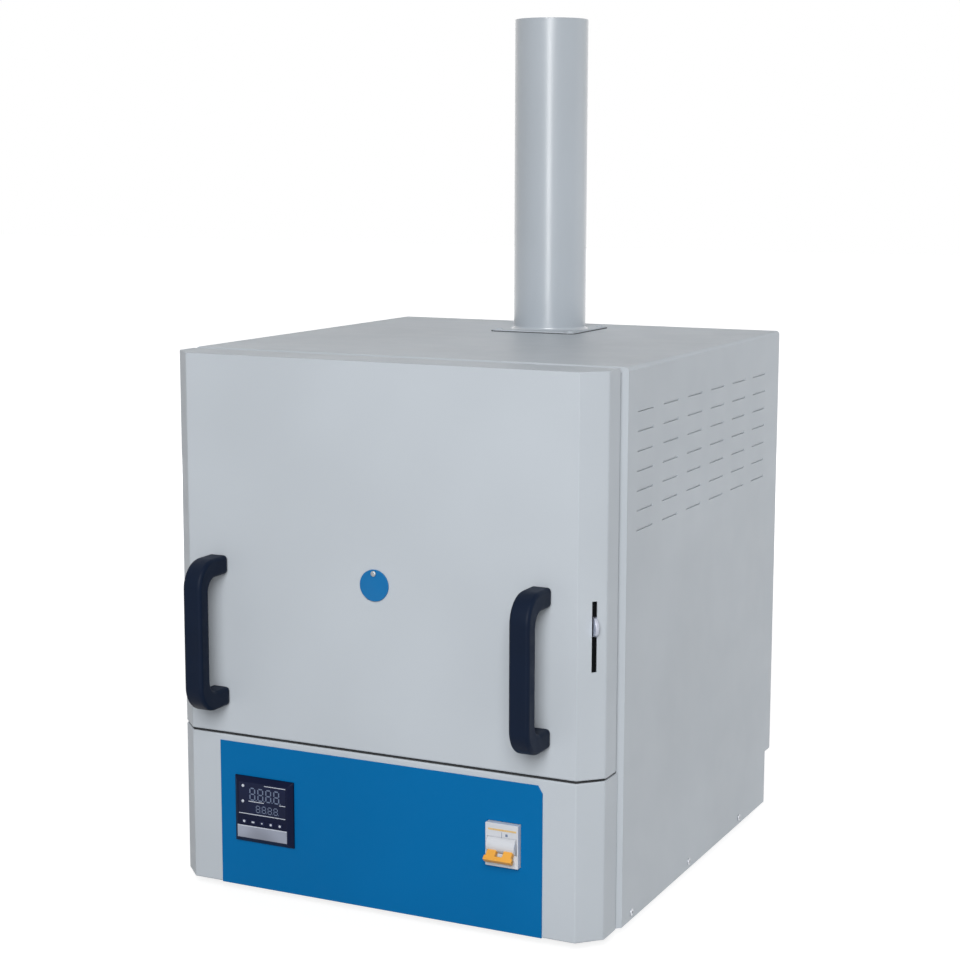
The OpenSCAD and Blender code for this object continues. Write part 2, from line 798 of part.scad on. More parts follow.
// Round cover that swings aside on its screw
module peephole_cover() {
    color("#146ca8") placed() difference() {
        rod_y(0, mid_z, cover_r, -touch_gap - cover_t, -touch_gap);
        rod_y(0, cover_pivot_z, cover_screw_r + run_fit, -cover_t - 2, 2);
    }
}

// Pivot screw of the peephole cover
module peephole_screw() {
    color("#c4c8cc") placed() {
        rod_y(0, cover_pivot_z, cover_screw_r, -2 * touch_gap - cover_t, sheet + 2);
        rod_y(0, cover_pivot_z, cover_screw_r + 1.5, -2 * touch_gap - cover_t - 1.4, -2 * touch_gap - cover_t);
    }
}

// Bridge handle, seen from the side as a round-cornered bow, with its fixing screws
module handle(side) {
    z = handle_z;
    inner = handle_reach - grip_d;
    color("#141c2c") placed() translate([side * handle_x - handle_w / 2, 0, z]) {
        rotate([90, 0, 90]) linear_extrude(handle_w) difference() {
            union() {
                translate([-handle_reach / 2, 0]) round_rect(handle_reach, handle_l, handle_r);
                translate([-handle_reach / 2, -handle_l / 2]) square([handle_reach / 2, handle_l]);
            }
            translate([-inner / 2, 0]) round_rect(inner, handle_l - 2 * leg_h, handle_fillet);
            translate([-inner / 2, -handle_l / 2 + leg_h]) square([inner, handle_l - 2 * leg_h]);
        }
        for (end = [-1, 1])
            translate([handle_w / 2, sheet + handle_screw_head, end * (handle_l - leg_h) / 2])
                rotate([90, 0, 0]) {
                    cylinder(h = handle_screw_head, r = handle_screw_r + 2);
                    cylinder(h = sheet + 2 * handle_screw_head, r = handle_screw_r - run_fit);
                }
    }
}

module handle_left() { handle(-1); }

module handle_right() { handle(1); }

// Channel behind the right chamfer that guides the shutter
module slider_guide() {
    w = shutter_w + 2 * touch_gap;
    t = shutter_t + 2 * touch_gap;
    color("#9aa0a4") placed() on_chamfer() translate([slot_set, sheet, slider_z]) difference() {
        box(-w / 2 - guide_wall, w / 2 + guide_wall, 0, t + guide_wall, -guide_l / 2, guide_l / 2);
        box(-w / 2, w / 2, -cut, t, -guide_l / 2 - cut, guide_l / 2 + cut);
    }
}

// Shutter with the thumb tab that stands out of the slot
module air_slider() {
    y0 = sheet + touch_gap;
    color("#b4b8c6") placed() on_chamfer() translate([slot_set, 0, slider_z + tab_rest]) {
        box(-shutter_w / 2, shutter_w / 2, y0, y0 + shutter_t, -shutter_l / 2, shutter_l / 2 - 2 * tab_rest);
        intersection() {
            rod_x(y0 + 1, 0, tab_h / 2, -tab_t / 2, tab_t / 2);
            box(-tab_t, tab_t, -tab_h, y0 + shutter_t / 2, -tab_h, tab_h);
        }
    }
}

// ---- Door lift ----

// A pin along X with a head at its inner end, on one side of the furnace
module pivot_pin(side, y, z) {
    x0 = arm_x - touch_gap - pin_head_t;
    x1 = arm_side + touch_gap;
    mirror([side < 0 ? 1 : 0, 0, 0]) {
        rod_x(y, z, pin_r, x0, x1 + bracket_t);
        rod_x(y, z, pin_head_r, x0, x0 + pin_head_t);
    }
}

// Bracket inside the door with its two pivot pins
module door_bracket(side) {
    x0 = arm_side + touch_gap;
    zm = main_z - drop;
    zi = idler_z - drop;
    color("#8c9196") placed() {
        mirror([side < 0 ? 1 : 0, 0, 0]) {
            box(x0, x0 + bracket_t, sheet, door_pivot_y + bracket_tail, zi - 15, zm + 15);
            box(x0, flat_x - 2 * touch_gap, sheet, sheet + 2, zi - 15, zm + 15);
        }
        pivot_pin(side, door_pivot_y, zm);
        pivot_pin(side, door_pivot_y, zi);
    }
}

module door_bracket_left() { door_bracket(-1); }

module door_bracket_right() { door_bracket(1); }

// Shaft that joins both main arms across the furnace
module lift_shaft() {
    x1 = bracket_x + touch_gap + 4;
    color("#a7abb0") placed() rod_x(rear_pivot_y, main_z, shaft_r, -x1, x1);
}

// A flat arm from its rear pivot forward and down to its door pivot
module arm(side, z, rear_hole, front_hole) {
    x0 = side > 0 ? arm_x : -arm_side;
    color("#8c9196") placed() translate([x0, rear_pivot_y, z]) rotate([90, 0, 90]) linear_extrude(arm_t)
        rotate(180 + rest_angle) difference() {
            union() {
                circle(hub_r);
                translate([arm_l, 0]) circle(hub_r - 1);
                translate([0, -arm_w / 2]) square([arm_l, arm_w]);
            }
            circle(rear_hole);
            translate([arm_l, 0]) circle(front_hole);
        }
}

module arm_left() { arm(-1, main_z, shaft_r + run_fit, pin_r + run_fit); }

module arm_right() { arm(1, main_z, shaft_r + run_fit, pin_r + run_fit); }

// The idlers' front pivots have play, so that the lift doesn't bind
module idler_left() { arm(-1, idler_z, pin_r + run_fit, pin_r + touch_gap); }

module idler_right() { arm(1, idler_z, pin_r + run_fit, pin_r + touch_gap); }

// Bracket behind the face plate: bearing of the shaft and pin of the idler
module hinge_bracket(side) {
    x0 = arm_side + touch_gap;
    y1 = rear_pivot_y + hub_r;
    color("#8c9196") placed() {
        mirror([side < 0 ? 1 : 0, 0, 0]) difference() {
            union() {
                box(x0, x0 + bracket_t, plate_back, y1, idler_z - bracket_end, main_z + bracket_end);
                box(x0, x0 + bracket_foot, plate_back, plate_back + bracket_t,
                    idler_z - bracket_end, main_z + bracket_end);
            }
            rod_x(rear_pivot_y, main_z, shaft_r + run_fit, x0 - cut, x0 + bracket_t + cut);
        }
        pivot_pin(side, rear_pivot_y, idler_z);
    }
}

module hinge_bracket_left() { hinge_bracket(-1); }

module hinge_bracket_right() { hinge_bracket(1); }

// Closely wound torsion spring round the shaft, with a leg to the face plate
module balance_spring() {
    r = shaft_r + touch_gap + spring_wire / 2;
    x0 = -arm_x + 8;
    pitch = spring_wire * 0.96;
    color("#5c6166") placed() translate([x0, rear_pivot_y, main_z]) {
        rotate([0, 90, 0]) rotate_extrude()
            for (i = [0 : spring_turns - 1])
                translate([r, i * pitch]) circle(spring_wire / 2);
        translate([(spring_turns - 1) * pitch, 0, -r]) rotate([90, 0, 0])
            cylinder(h = rear_pivot_set, r = spring_wire / 2);
    }
}

// ---- Controls ----

// A section through the middle of the controller's bezel
module bezel_plan() {
    w = bezel_w / 2;
    rim_y = -plate_t - bezel_rim;
    polygon([[-w, -plate_t], [-w, rim_y], [-w + bezel_taper, face_y],
        [w - bezel_taper, face_y], [w, rim_y], [w, -plate_t]]);
}

// Temperature controller: bezel in front of the plate, case behind it
module controller() {
    w = bezel_w / 2;
    color("#1b1e26") placed() translate([-controller_x, 0, ctrl_z]) difference() {
        union() {
            intersection() {
                translate([0, 0, -w]) linear_extrude(2 * w) bezel_plan();
                translate([-w, 0, 0]) rotate([0, 90, 0]) linear_extrude(2 * w) bezel_plan();
            }
            box(-case_w / 2, case_w / 2, -plate_t, case_d, -case_w / 2, case_w / 2);
        }
        box(-display_w / 2, display_w / 2, face_y - cut, face_y + display_t,
            display_rise - display_h / 2, display_rise + display_h / 2);
        for (i = [-2 : 2])
            box(i * key_pitch - key_w / 2 - touch_gap, i * key_pitch + key_w / 2 + touch_gap,
                face_y - cut, face_y + key_body + key_travel - key_proud + touch_gap,
                key_z - ctrl_z - key_h / 2 - touch_gap, key_z - ctrl_z + key_h / 2 + touch_gap);
    }
}

// Dark window over both rows of figures
module display() {
    color("#20242e") placed() translate([-controller_x, 0, ctrl_z + display_rise])
        box(-display_w / 2, display_w / 2, face_y + 0.2, face_y + display_t,
            -display_h / 2, display_h / 2);
}

// A small push key under the display
module key(i) {
    color("#c9ccd0") placed() translate([-controller_x + (i - 3) * key_pitch, 0, key_z])
        box(-key_w / 2, key_w / 2, face_y - key_proud, face_y - key_proud + key_body,
            -key_h / 2, key_h / 2);
}

module key_1() { key(1); }

module key_2() { key(2); }

module key_3() { key(3); }

module key_4() { key(4); }

module key_5() { key(5); }

// Two-pole circuit breaker behind the fascia, with its front block standing out
module breaker() {
    w = breaker_w / 2;
    color("#e8e8e4") placed() translate([breaker_x, 0, brk_z]) difference() {
        union() {
            box(-w, w, brk_face, 6, -breaker_h / 2, breaker_h / 2);
            box(-w, w, 5, breaker_d, -breaker_body_h / 2, breaker_body_h / 2);
        }
        rod_x(toggle_y, 0, toggle_r + touch_gap, -w + 2, w - 2);
    }
}

// Linked toggles of both poles, down when off
module toggle() {
    w = breaker_w / 2 - 2 - touch_gap;
    color("#e08a2c") placed() translate([breaker_x, toggle_y, brk_z]) {
        rod_x(0, 0, toggle_r, -w, w);
        rotate([toggle_off, 0, 0]) {
            for (side = [-1, 1])
                translate([side * breaker_w / 4, 0, 0])
                    box(-5, 5, -toggle_l, 0, -toggle_t / 2, toggle_t / 2);
            box(-w, w, -toggle_l, -toggle_l + 5, -toggle_t / 2, toggle_t / 2);
        }
    }
}

// Rail that the breaker clips to, on two posts from the tray
module breaker_rail() {
    x0 = breaker_x - rail_half;
    x1 = breaker_x + rail_half;
    color("#b7bcc0") placed() {
        box(x0, x1, breaker_d, breaker_d + sheet, brk_z - rail_h / 2, brk_z + rail_h / 2);
        for (x = [x0, x1 - rail_post]) {
            box(x, x + rail_post, front_d, front_d + rail_post, floor_z + sheet, brk_z + rail_h / 2);
            box(x, x + rail_post, breaker_d, front_d + cut, brk_z - rail_h / 2, brk_z + rail_h / 2);
        }
    }
}

// Finned heat sink of the solid-state relay
module heat_sink() {
    pitch = (sink_w - sink_fin_t) / (sink_fins - 1);
    color("#a7abb0") placed() translate([sink_x - sink_w / 2, sink_y, floor_z + sheet]) {
        translate([0, 0, sink_h - sink_base]) cube([sink_w, sink_l, sink_base]);
        for (i = [0 : sink_fins - 1])
            translate([i * pitch, 0, 0]) cube([sink_fin_t, sink_l, sink_h - sink_base / 2]);
    }
}

// Solid-state relay that switches the heating elements
module relay() {
    color("#2a2d33") placed()
        translate([sink_x - relay_w / 2, sink_y + (sink_l - relay_l) / 2, floor_z + sheet + sink_h])
            cube([relay_w, relay_l, relay_h]);
}

// Gland that the supply cable comes in through
module cable_gland() {
    r = gland_bore + gland_wall;
    color("#202226") placed() difference() {
        union() {
            rod_y(gland_x, gland_z, r, wall_y - 2.5 * gland_nut, back_y + gland_nut);
            rod_y(gland_x, gland_z, r + gland_nut, wall_y - 1.5 * gland_nut, wall_y);
            rod_y(gland_x, gland_z, r + gland_nut, back_y, back_y + 1.5 * gland_nut);
            rod_y(gland_x, gland_z, r + gland_nut / 2, back_y + gland_nut, back_y + 4 * gland_nut);
        }
        rod_y(gland_x, gland_z, gland_bore, wall_y - 3 * gland_nut, back_y + 5 * gland_nut);
    }
}

shell();
base_tray();
rear_panel();
rear_cover();
face_plate();
divider();
fascia();
fascia_plate();
feet();
side_screws();
rear_screws();
muffle();
insulation_top();
insulation_base();
insulation_left();
insulation_right();
insulation_rear();
mouth_collar();
hearth_plate();
heater_left();
heater_right();
thermocouple();
flue();
chimney();
chimney_flange();
flange_screws();
door_shell();
door_liner();
door_insulation();
peephole_tube();
peephole_cover();
peephole_screw();
handle_left();
handle_right();
slider_guide();
air_slider();
door_bracket_left();
door_bracket_right();
lift_shaft();
arm_left();
arm_right();
idler_left();
idler_right();
hinge_bracket_left();
hinge_bracket_right();
balance_spring();
controller();
display();
key_1();
key_2();
key_3();
key_4();
key_5();
breaker();
toggle();
breaker_rail();
heat_sink();
relay();
cable_gland();
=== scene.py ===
"""Dresses a laboratory muffle furnace: round edges, fine detail, finishes and a plain studio."""

import json
import math
from collections import namedtuple

import bmesh
import bpy
from bpy.types import Operator, Panel, PropertyGroup
from mathutils import Matrix, Vector

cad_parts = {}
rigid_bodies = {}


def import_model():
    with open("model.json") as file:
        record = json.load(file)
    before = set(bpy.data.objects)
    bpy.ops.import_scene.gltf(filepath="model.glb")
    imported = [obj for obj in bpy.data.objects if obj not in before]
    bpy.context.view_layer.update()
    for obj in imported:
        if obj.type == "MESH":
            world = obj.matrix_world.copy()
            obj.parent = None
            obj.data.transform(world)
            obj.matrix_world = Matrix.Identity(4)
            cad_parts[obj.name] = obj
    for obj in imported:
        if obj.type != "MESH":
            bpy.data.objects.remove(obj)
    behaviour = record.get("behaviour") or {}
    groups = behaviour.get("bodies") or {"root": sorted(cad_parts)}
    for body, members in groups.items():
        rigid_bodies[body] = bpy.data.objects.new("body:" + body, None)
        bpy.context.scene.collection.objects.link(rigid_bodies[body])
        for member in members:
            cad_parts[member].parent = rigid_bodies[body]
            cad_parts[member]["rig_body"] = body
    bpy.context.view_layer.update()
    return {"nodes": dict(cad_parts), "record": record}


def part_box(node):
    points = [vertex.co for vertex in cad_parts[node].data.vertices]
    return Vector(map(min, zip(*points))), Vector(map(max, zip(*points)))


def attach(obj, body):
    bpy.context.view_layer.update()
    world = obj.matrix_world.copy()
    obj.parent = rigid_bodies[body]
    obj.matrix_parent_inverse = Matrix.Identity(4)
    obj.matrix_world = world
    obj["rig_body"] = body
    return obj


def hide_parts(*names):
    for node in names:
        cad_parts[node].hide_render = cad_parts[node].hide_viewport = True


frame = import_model()

bl_info = {
    "name": "Muffle Furnace",
    "version": (1, 0, 0),
    "blender": (4, 5, 0),
    "location": "3D View > Sidebar > Furnace",
    "description": "Rounds a muffle furnace's edges, and adds its fine detail and its finishes",
    "category": "Add Mesh",
}

MM = 0.001
TURN = 2 * math.pi
RIGHT = math.pi / 2
# Turns for a piece made along Z, so that it points at the furnace's front or back.
TO_FRONT = (RIGHT, 0, 0)
TO_BACK = (-RIGHT, 0, 0)
MERGE = 0.002 * MM  # points closer than this become one
SMALL_TURNED = 32  # steps round a screw or a lamp
# Places of the main pieces, read from the frame, in metres.
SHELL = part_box("shell")
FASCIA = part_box("fascia")
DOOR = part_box("door_shell")
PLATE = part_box("fascia_plate")
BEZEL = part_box("controller")
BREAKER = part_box("breaker")
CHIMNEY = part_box("chimney")
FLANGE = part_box("chimney_flange")
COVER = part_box("peephole_cover")
CHAMFER = 22 * MM  # of the sides of door and fascia
SCREW_R = 4  # pan heads, in millimetres


def linear(code):
    """Turns an sRGB hex colour into linear red, green, blue and alpha."""
    parts = [int(code[i:i + 2], 16) / 255 for i in (0, 2, 4)]
    return (*(c / 12.92 if c <= 0.04045 else ((c + 0.055) / 1.055) ** 2.4 for c in parts), 1.0)


def colour(name, about, code):
    """Makes one colour property for the add-on's panel."""
    return bpy.props.FloatVectorProperty(
        name=name, description=about, subtype="COLOR", size=4, min=0, max=1, default=linear(code))


def length(name, about, size):
    """Makes one length property, given in millimetres."""
    return bpy.props.FloatProperty(
        name=name, description=about, subtype="DISTANCE", unit="LENGTH", min=0, default=size * MM)


def power(name, about, watts):
    """Makes the power property of one lamp."""
    return bpy.props.FloatProperty(name=name, description=about, unit="POWER", default=watts)


class FurnaceSizes(PropertyGroup):
    """Sizes of the fine detail"""
    bend: length("Sheet bend", "Outer radius of the folds in door, fascia and cabinet", 1.6)
    cut_edge: length("Cut edge", "Rounding that the paint gives a cut sheet edge", 0.35)
    weld: length("Weld fillet", "Painted fillet between the chimney and its flange", 3.5)
    blade: length("Louvre blade", "How far each louvre is bent in behind its slit", 0.75)
    grip_round: length("Grip rounding", "Rounding along the handle grips", 4.2)
    grip_bow: length("Grip bow", "Outer corner between a handle's grip and its legs", 29)
    grip_fillet: length("Grip fillet", "Inner corner between a handle's grip and its legs", 14)
    toggle_round: length("Toggle rounding", "Rounding of the breaker's toggles", 1.2)
    line: length("Face line", "Width of the printed lines on the controller", 0.8)
    # Painted shade: the black strip stands in for the shadow in the seam under the door.
    seam_shade_height: length("Seam strip", "Height of the black strip in the seam under the door", 1.6)


class FurnaceColours(PropertyGroup):
    """Colours of the finishes"""
    paint: colour("Cabinet paint", "Light grey powder coat", "BFC6CD")
    chimney: colour("Chimney paint", "Glossy light grey coat", "AAB2BA")
    plate: colour("Fascia plate", "Satin blue coat", "0069A6")
    disc: colour("Peephole cover", "Glossy blue cap", "0C6CA8")
    grip: colour("Handles", "Blue-black plastic", "061428")
    bezel: colour("Controller", "Black plastic bezel", "08102C")
    glass: colour("Display", "Smoked window", "0C1636")
    figures: colour("Figures", "Unlit segments behind the window", "66748F")
    # The mark ink also draws the pale line along the bare strip's top edge, a painted highlight.
    mark: colour("Face marks", "Printed lines and key marks", "C4CAD6")
    strip: colour("Face strip", "Bare metallic strip under the keys", "989EAE")
    breaker: colour("Breaker", "White moulded case", "D2D5DB")
    toggle: colour("Toggles", "Orange moulded toggles", "E8A640")
    band: colour("Breaker band", "Pale orange print on the breaker", "D9B77C")
    fibre: colour("Fibre board", "Pressed ceramic fibre", "EFEBE0")
    refractory: colour("Refractory", "Unglazed fired ceramic", "DDCFB8")
    element: colour("Heating alloy", "Oxidised resistance alloy", "51443D")
    steel: colour("Zinc plate", "Bright zinc on screws", "C7CACF")
    sheet: colour("Inner sheet", "Zinc-coated sheet inside the cabinet", "A9AEB2")
    arm: colour("Lift arms", "Zinc-plated flat steel", "9EA2A6")
    aluminium: colour("Aluminium", "Extruded aluminium", "B5B8BC")
    slider: colour("Air slider", "Satin nickel plate", "BFC3D0")
    rubber: colour("Feet", "Black rubber", "1B1C1E")
    black: colour("Black plastic", "Moulded polyamide", "1E2023")


class FurnaceStudio(PropertyGroup):
    """Light and ground of the studio"""
    key: power("Key light", "Power of the large softbox above the front", 123)
    side: power("Side light", "Power of the softbox at the right, a little behind", 37)
    strip: power("Strip light", "Power of the small softbox near the front", 8)
    rear: power("Rear light", "Power of the softbox behind", 56)
    fill: bpy.props.FloatProperty(
        name="Fill", description="Strength of the light from all round", default=0.12)
    ground: colour("Floor", "Pale studio floor", "A0A0A0")


# ---- Materials ----

Skin = namedtuple("Skin", "material shader place rgba")


def add_node(material, kind, inputs=None, **settings):
    """Adds a shader node with its settings, and fills its inputs with values or links."""
    tree = material.node_tree
    node = tree.nodes.new("ShaderNode" + kind)
    for key, value in settings.items():
        setattr(node, key, value)
    for key, value in (inputs or {}).items():
        if isinstance(value, bpy.types.NodeSocket):
            tree.links.new(value, node.inputs[key])
        else:
            node.inputs[key].default_value = value
    return node


def start_skin(name, rgba, roughness, metallic=0.0, **more):
    """Makes a material with one shader, and keeps both with its pattern coordinates."""
    material = bpy.data.materials.new(name)
    material.use_nodes = True
    material.node_tree.nodes.clear()
    inputs = {"Base Color": tuple(rgba), "Roughness": roughness, "Metallic": metallic}
    inputs.update({key.replace("_", " "): value for key, value in more.items()})
    shader = add_node(material, "BsdfPrincipled", inputs, name="finish")
    add_node(material, "OutputMaterial", {"Surface": shader.outputs["BSDF"]})
    place = add_node(material, "TexCoord")
    return Skin(material, shader, place.outputs["Object"], tuple(rgba))


def grain(skin, size_mm, detail=2.0, stretch=None, distortion=0.0):
    """Noise whose cells are about size_mm across, drawn out along an axis by stretch."""
    place = skin.place
    if stretch:
        mapping = add_node(skin.material, "Mapping", {"Vector": place, "Scale": stretch})
        place = mapping.outputs["Vector"]
    noise = add_node(skin.material, "TexNoise", {
        "Vector": place, "Scale": 1 / (size_mm * MM), "Detail": detail, "Distortion": distortion})
    return noise.outputs["Fac"]


def vary(skin, socket, factor, low, high, start=0.25, end=0.75):
    """Drives a shader input between two values or colours, as a pattern runs from start to end."""
    numbers = isinstance(low, (int, float))
    reach = {"To Min": low, "To Max": high} if numbers else {}
    span = {"Value": factor, "From Min": start, "From Max": end, **reach}
    ramp = add_node(skin.material, "MapRange", span, interpolation_type="SMOOTHSTEP")
    out = ramp.outputs["Result"]
    if not numbers:
        mix = add_node(skin.material, "Mix", {"Factor": out, "A": low, "B": high}, data_type="RGBA")
        out = mix.outputs["Result"]
    skin.material.node_tree.links.new(out, skin.shader.inputs[socket])


def shade(rgba, amount):
    """The same colour, lighter or darker."""
    return (*(min(1.0, c * amount) for c in rgba[:3]), 1.0)


def mottle(skin, factor, dark, light, *span):
    """Varies the skin's colour between a darker and a lighter tone of itself."""
    vary(skin, "Base Color", factor, shade(skin.rgba, dark), shade(skin.rgba, light), *span)


def relief(skin, factor, depth_mm, strength=1.0):
    """Raises the surface by a pattern, depth_mm from its lowest to its highest point."""
    normal = skin.shader.inputs["Normal"]
    inputs = {"Height": factor, "Distance": depth_mm * MM, "Strength": strength}
    if normal.links:
        inputs["Normal"] = normal.links[0].from_socket
    bump = add_node(skin.material, "Bump", inputs)
    skin.material.node_tree.links.new(bump.outputs["Normal"], normal)


def powder_coat(name, rgba, roughness, peel=0.02, wave=0.18, **more):
    """Stoved polyester powder: a satin skin with shallow orange peel.

    Real peel is 1 to 2 mm across; it is drawn at 2.4 mm so that it shows.
    """
    skin = start_skin(name, rgba, roughness, **more)
    mottle(skin, grain(skin, 160, 1), 0.97, 1.03)
    vary(skin, "Roughness", grain(skin, 30, 1), roughness - 0.03, roughness + 0.04)
    relief(skin, grain(skin, 2.4, 2), peel)
    relief(skin, grain(skin, 90, 1), wave, 0.5)
    return skin.material


def zinc_sheet(name, rgba):
    """Hot-dip zinc on steel sheet: spangles 6 to 12 mm across, each with its own gloss."""
    skin = start_skin(name, rgba, 0.45, 0.75)
    material, place, ragged = skin.material, skin.place, (6 * MM,) * 3
    bent = add_node(material, "TexNoise", {"Vector": place, "Scale": 1 / (7 * MM), "Detail": 2})
    jagged = add_node(material, "VectorMath", {0: bent.outputs["Color"], 1: ragged},
                      operation="MULTIPLY")
    warped = add_node(material, "VectorMath", {0: place, 1: jagged.outputs["Vector"]}, operation="ADD")
    cells = add_node(material, "TexVoronoi", {
        "Vector": warped.outputs["Vector"], "Scale": 1 / (8 * MM)})
    tone = add_node(material, "SeparateColor", {"Color": cells.outputs["Color"]})
    mottle(skin, tone.outputs["Red"], 0.95, 1.04, 0, 1)
    vary(skin, "Roughness", tone.outputs["Green"], 0.4, 0.5, 0, 1)
    relief(skin, grain(skin, 1.2, 3), 0.012)
    return material


def plated(name, rgba, roughness=0.3, stretch=(1, 1, 0.06)):
    """Zinc or nickel plate on steel: a bright metal with fine drawn marks 0.6 mm wide."""
    skin = start_skin(name, rgba, roughness, 1.0)
    marks = grain(skin, 0.6, 3, stretch)
    vary(skin, "Roughness", marks, roughness - 0.07, roughness + 0.12)
    mottle(skin, grain(skin, 14, 4), 0.88, 1.05)
    relief(skin, marks, 0.01)
    return skin.material


def fibre_board(name, rgba):
    """Vacuum-formed ceramic fibre: chalky, with tangled fibres and dents 2 to 8 mm across."""
    skin = start_skin(name, rgba, 0.95)
    mottle(skin, grain(skin, 26, 5), 0.93, 1.02)
    relief(skin, grain(skin, 1.6, 6, (1, 1, 0.35), 1.4), 0.25, 0.8)
    relief(skin, grain(skin, 8, 2), 0.3, 0.6)
    return skin.material


def fired_ceramic(name, rgba):
    """Pressed and fired refractory: sandy skin, faint stains and open pores 4 mm apart."""
    skin = start_skin(name, rgba, 0.85)
    pores = add_node(skin.material, "TexVoronoi", {
        "Vector": skin.place, "Scale": 1 / (3.96 * MM)})
    dip = add_node(skin.material, "MapRange", {
        "Value": pores.outputs["Distance"], "From Min": 0.02, "From Max": 0.2})
    mottle(skin, grain(skin, 40, 6), 0.86, 1.04)
    relief(skin, grain(skin, 0.8, 4), 0.12)
    relief(skin, dip.outputs["Result"], 0.25, 0.8)
    return skin.material


def heated_alloy(name, rgba):
    """Resistance alloy with a dark oxide skin, mottled grey-brown over 5 mm."""
    skin = start_skin(name, rgba, 0.62, 0.55)
    mottle(skin, grain(skin, 5, 5), 0.7, 1.35)
    relief(skin, grain(skin, 0.7, 3), 0.04)
    return skin.material


def moulded(name, rgba, roughness=0.42, spark_mm=0.9, depth=0.03, **more):
    """Injection-moulded plastic with a spark-eroded grain.

    Real grain is 0.1 to 0.3 mm; it is drawn coarser so that it shows.
    """
    skin = start_skin(name, rgba, roughness, **more)
    vary(skin, "Roughness", grain(skin, 18, 4), roughness - 0.05, roughness + 0.07)
    mottle(skin, grain(skin, 60, 3), 0.93, 1.07)
    relief(skin, grain(skin, spark_mm, 2), depth)
    return skin.material


def smoked_window(name, rgba):
    """Cast acrylic over a dark display: a clear gloss with the faintest ripple."""
    skin = start_skin(name, rgba, 0.16, Specular_IOR_Level=0.15)
    mottle(skin, grain(skin, 20, 2), 0.9, 1.15)
    relief(skin, grain(skin, 25, 1), 0.05)
    return skin.material


def printed(name, rgba, roughness=0.4):
    """Screen-printed ink with a slight mottle 1.5 mm across."""
    skin = start_skin(name, rgba, roughness)
    mottle(skin, grain(skin, 1.5, 3), 0.88, 1.08)
    relief(skin, grain(skin, 0.5, 2), 0.01)
    return skin.material


def drawn_foil(name, rgba):
    """Metallised film brushed from side to side, with soft darker patches 45 mm across: painted
    reflections of a dark room in the film.
    """
    skin = start_skin(name, rgba, 0.36, 0.35)
    # Painted reflection: darker patches that stand in for what the mirror-like film would reflect.
    mottle(skin, grain(skin, 45, 1), 0.62, 1.12)
    relief(skin, grain(skin, 0.5, 3, (0.04, 1, 1)), 0.01)
    return skin.material


def seen(material):
    """1 for the camera's rays, also by way of a mirror or a glass, and 0 for those that light."""
    rays = add_node(material, "LightPath")
    value = rays.outputs["Is Camera Ray"]
    for kind in ("Is Glossy Ray", "Is Transmission Ray"):
        either = add_node(material, "Math", {0: value, 1: rays.outputs[kind]}, operation="MAXIMUM")
        value = either.outputs[0]
    return value


FINISHES = {}


def make_finishes():
    """Fills the table of finishes from the panel's colours."""
    c = bpy.context.scene.furnace_colours
    dull = {"Specular_IOR_Level": 0.12}
    FINISHES.update({
        "grey_paint": powder_coat("powder_coat_grey", c.paint, 0.46, Specular_IOR_Level=0.3),
        "chimney_paint": powder_coat("gloss_coat_grey", c.chimney, 0.33, 0.002, 0.02,
                                     Coat_Weight=1.0, Coat_Roughness=0.22),
        "blue_paint": powder_coat("powder_coat_blue", c.plate, 0.4, 0.01, Specular_IOR_Level=0.1),
        "inner_steel": zinc_sheet("galvanised_sheet", c.sheet),
        # Dark silicone bead round the chimney flange, there as a painted shadow line.
        "sealant_and_shadow": moulded("dark_silicone_bead", shade(c.black, 1.6), 0.6, 1.4, 0.03),
        # The rubber finish also colours the black strip in the seam under the door, which is painted
        # shade.
        "rubber": moulded("moulded_rubber", c.rubber, 0.75, 1.4, 0.05),
        "screw_steel": plated("zinc_plated_steel", c.steel, 0.28),
        "fibre_board": fibre_board("ceramic_fibre_board", c.fibre),
        "refractory": fired_ceramic("fired_refractory", c.refractory),
        "heating_alloy": heated_alloy("oxidised_heating_alloy", c.element),
        "arm_steel": plated("zinc_plated_flat_bar", c.arm, 0.36, (1, 0.06, 0.06)),
        "handle_plastic": moulded("grained_nylon", c.grip, 0.5, 0.9, 0.05, **dull),
        "cover_blue": moulded("gloss_blue_cap", c.disc, 0.34, 3.0, 0.01, Specular_IOR_Level=0.25),
        "controller_plastic": moulded("grained_abs", c.bezel, 0.42, 0.8, 0.02, **dull),
        "display_window": smoked_window("smoked_acrylic", c.glass),
        "figure_ink": printed("unlit_segment", c.figures, 0.3),
        "mark_ink": printed("pale_screen_print", c.mark),
        "strip_foil": drawn_foil("metallised_film", c.strip),
        "key_plastic": moulded("key_silicone", shade(c.bezel, 1.6), 0.55, 0.8, 0.02,
                               Specular_IOR_Level=0.25),
        "band_ink": printed("pale_orange_print", c.band),
        # Near-black finish for the shutter behind the air slot: painted shade.
        "blackened_steel": plated("blackened_steel", shade(c.black, 0.5), 0.6),
        "breaker_white": moulded("moulded_polyamide_white", c.breaker, 0.42, 0.9, 0.015),
        "toggle_orange": moulded("moulded_polyamide_orange", c.toggle, 0.34, 0.9, 0.01),
        "slider_metal": plated("satin_nickel", c.slider, 0.34),
        "aluminium": plated("extruded_aluminium", c.aluminium, 0.4, (1, 0.05, 1)),
        "black_plastic": moulded("moulded_polyamide_black", c.black, 0.5, 0.9, 0.03),
    })


# ---- Modelling ----

def mm(*points):
    """Points given in millimetres, in metres."""
    return [tuple(value * MM for value in point) for point in points]


def alone(piece=None):
    """Leaves edit mode, and makes piece the only selected object, or selects nothing."""
    if bpy.context.object and bpy.context.object.mode != "OBJECT":
        bpy.ops.object.mode_set(mode="OBJECT")
    bpy.ops.object.select_all(action="DESELECT")
    if piece:
        piece.select_set(True)
        bpy.context.view_layer.objects.active = piece


def settle(piece, location=(0, 0, 0), rotation=(0, 0, 0)):
    """Puts a piece in its place, and applies that place to its mesh."""
    alone(piece)
    piece.location, piece.rotation_euler = location, rotation
    bpy.ops.object.transform_apply(location=True, rotation=True, scale=True)
    return piece


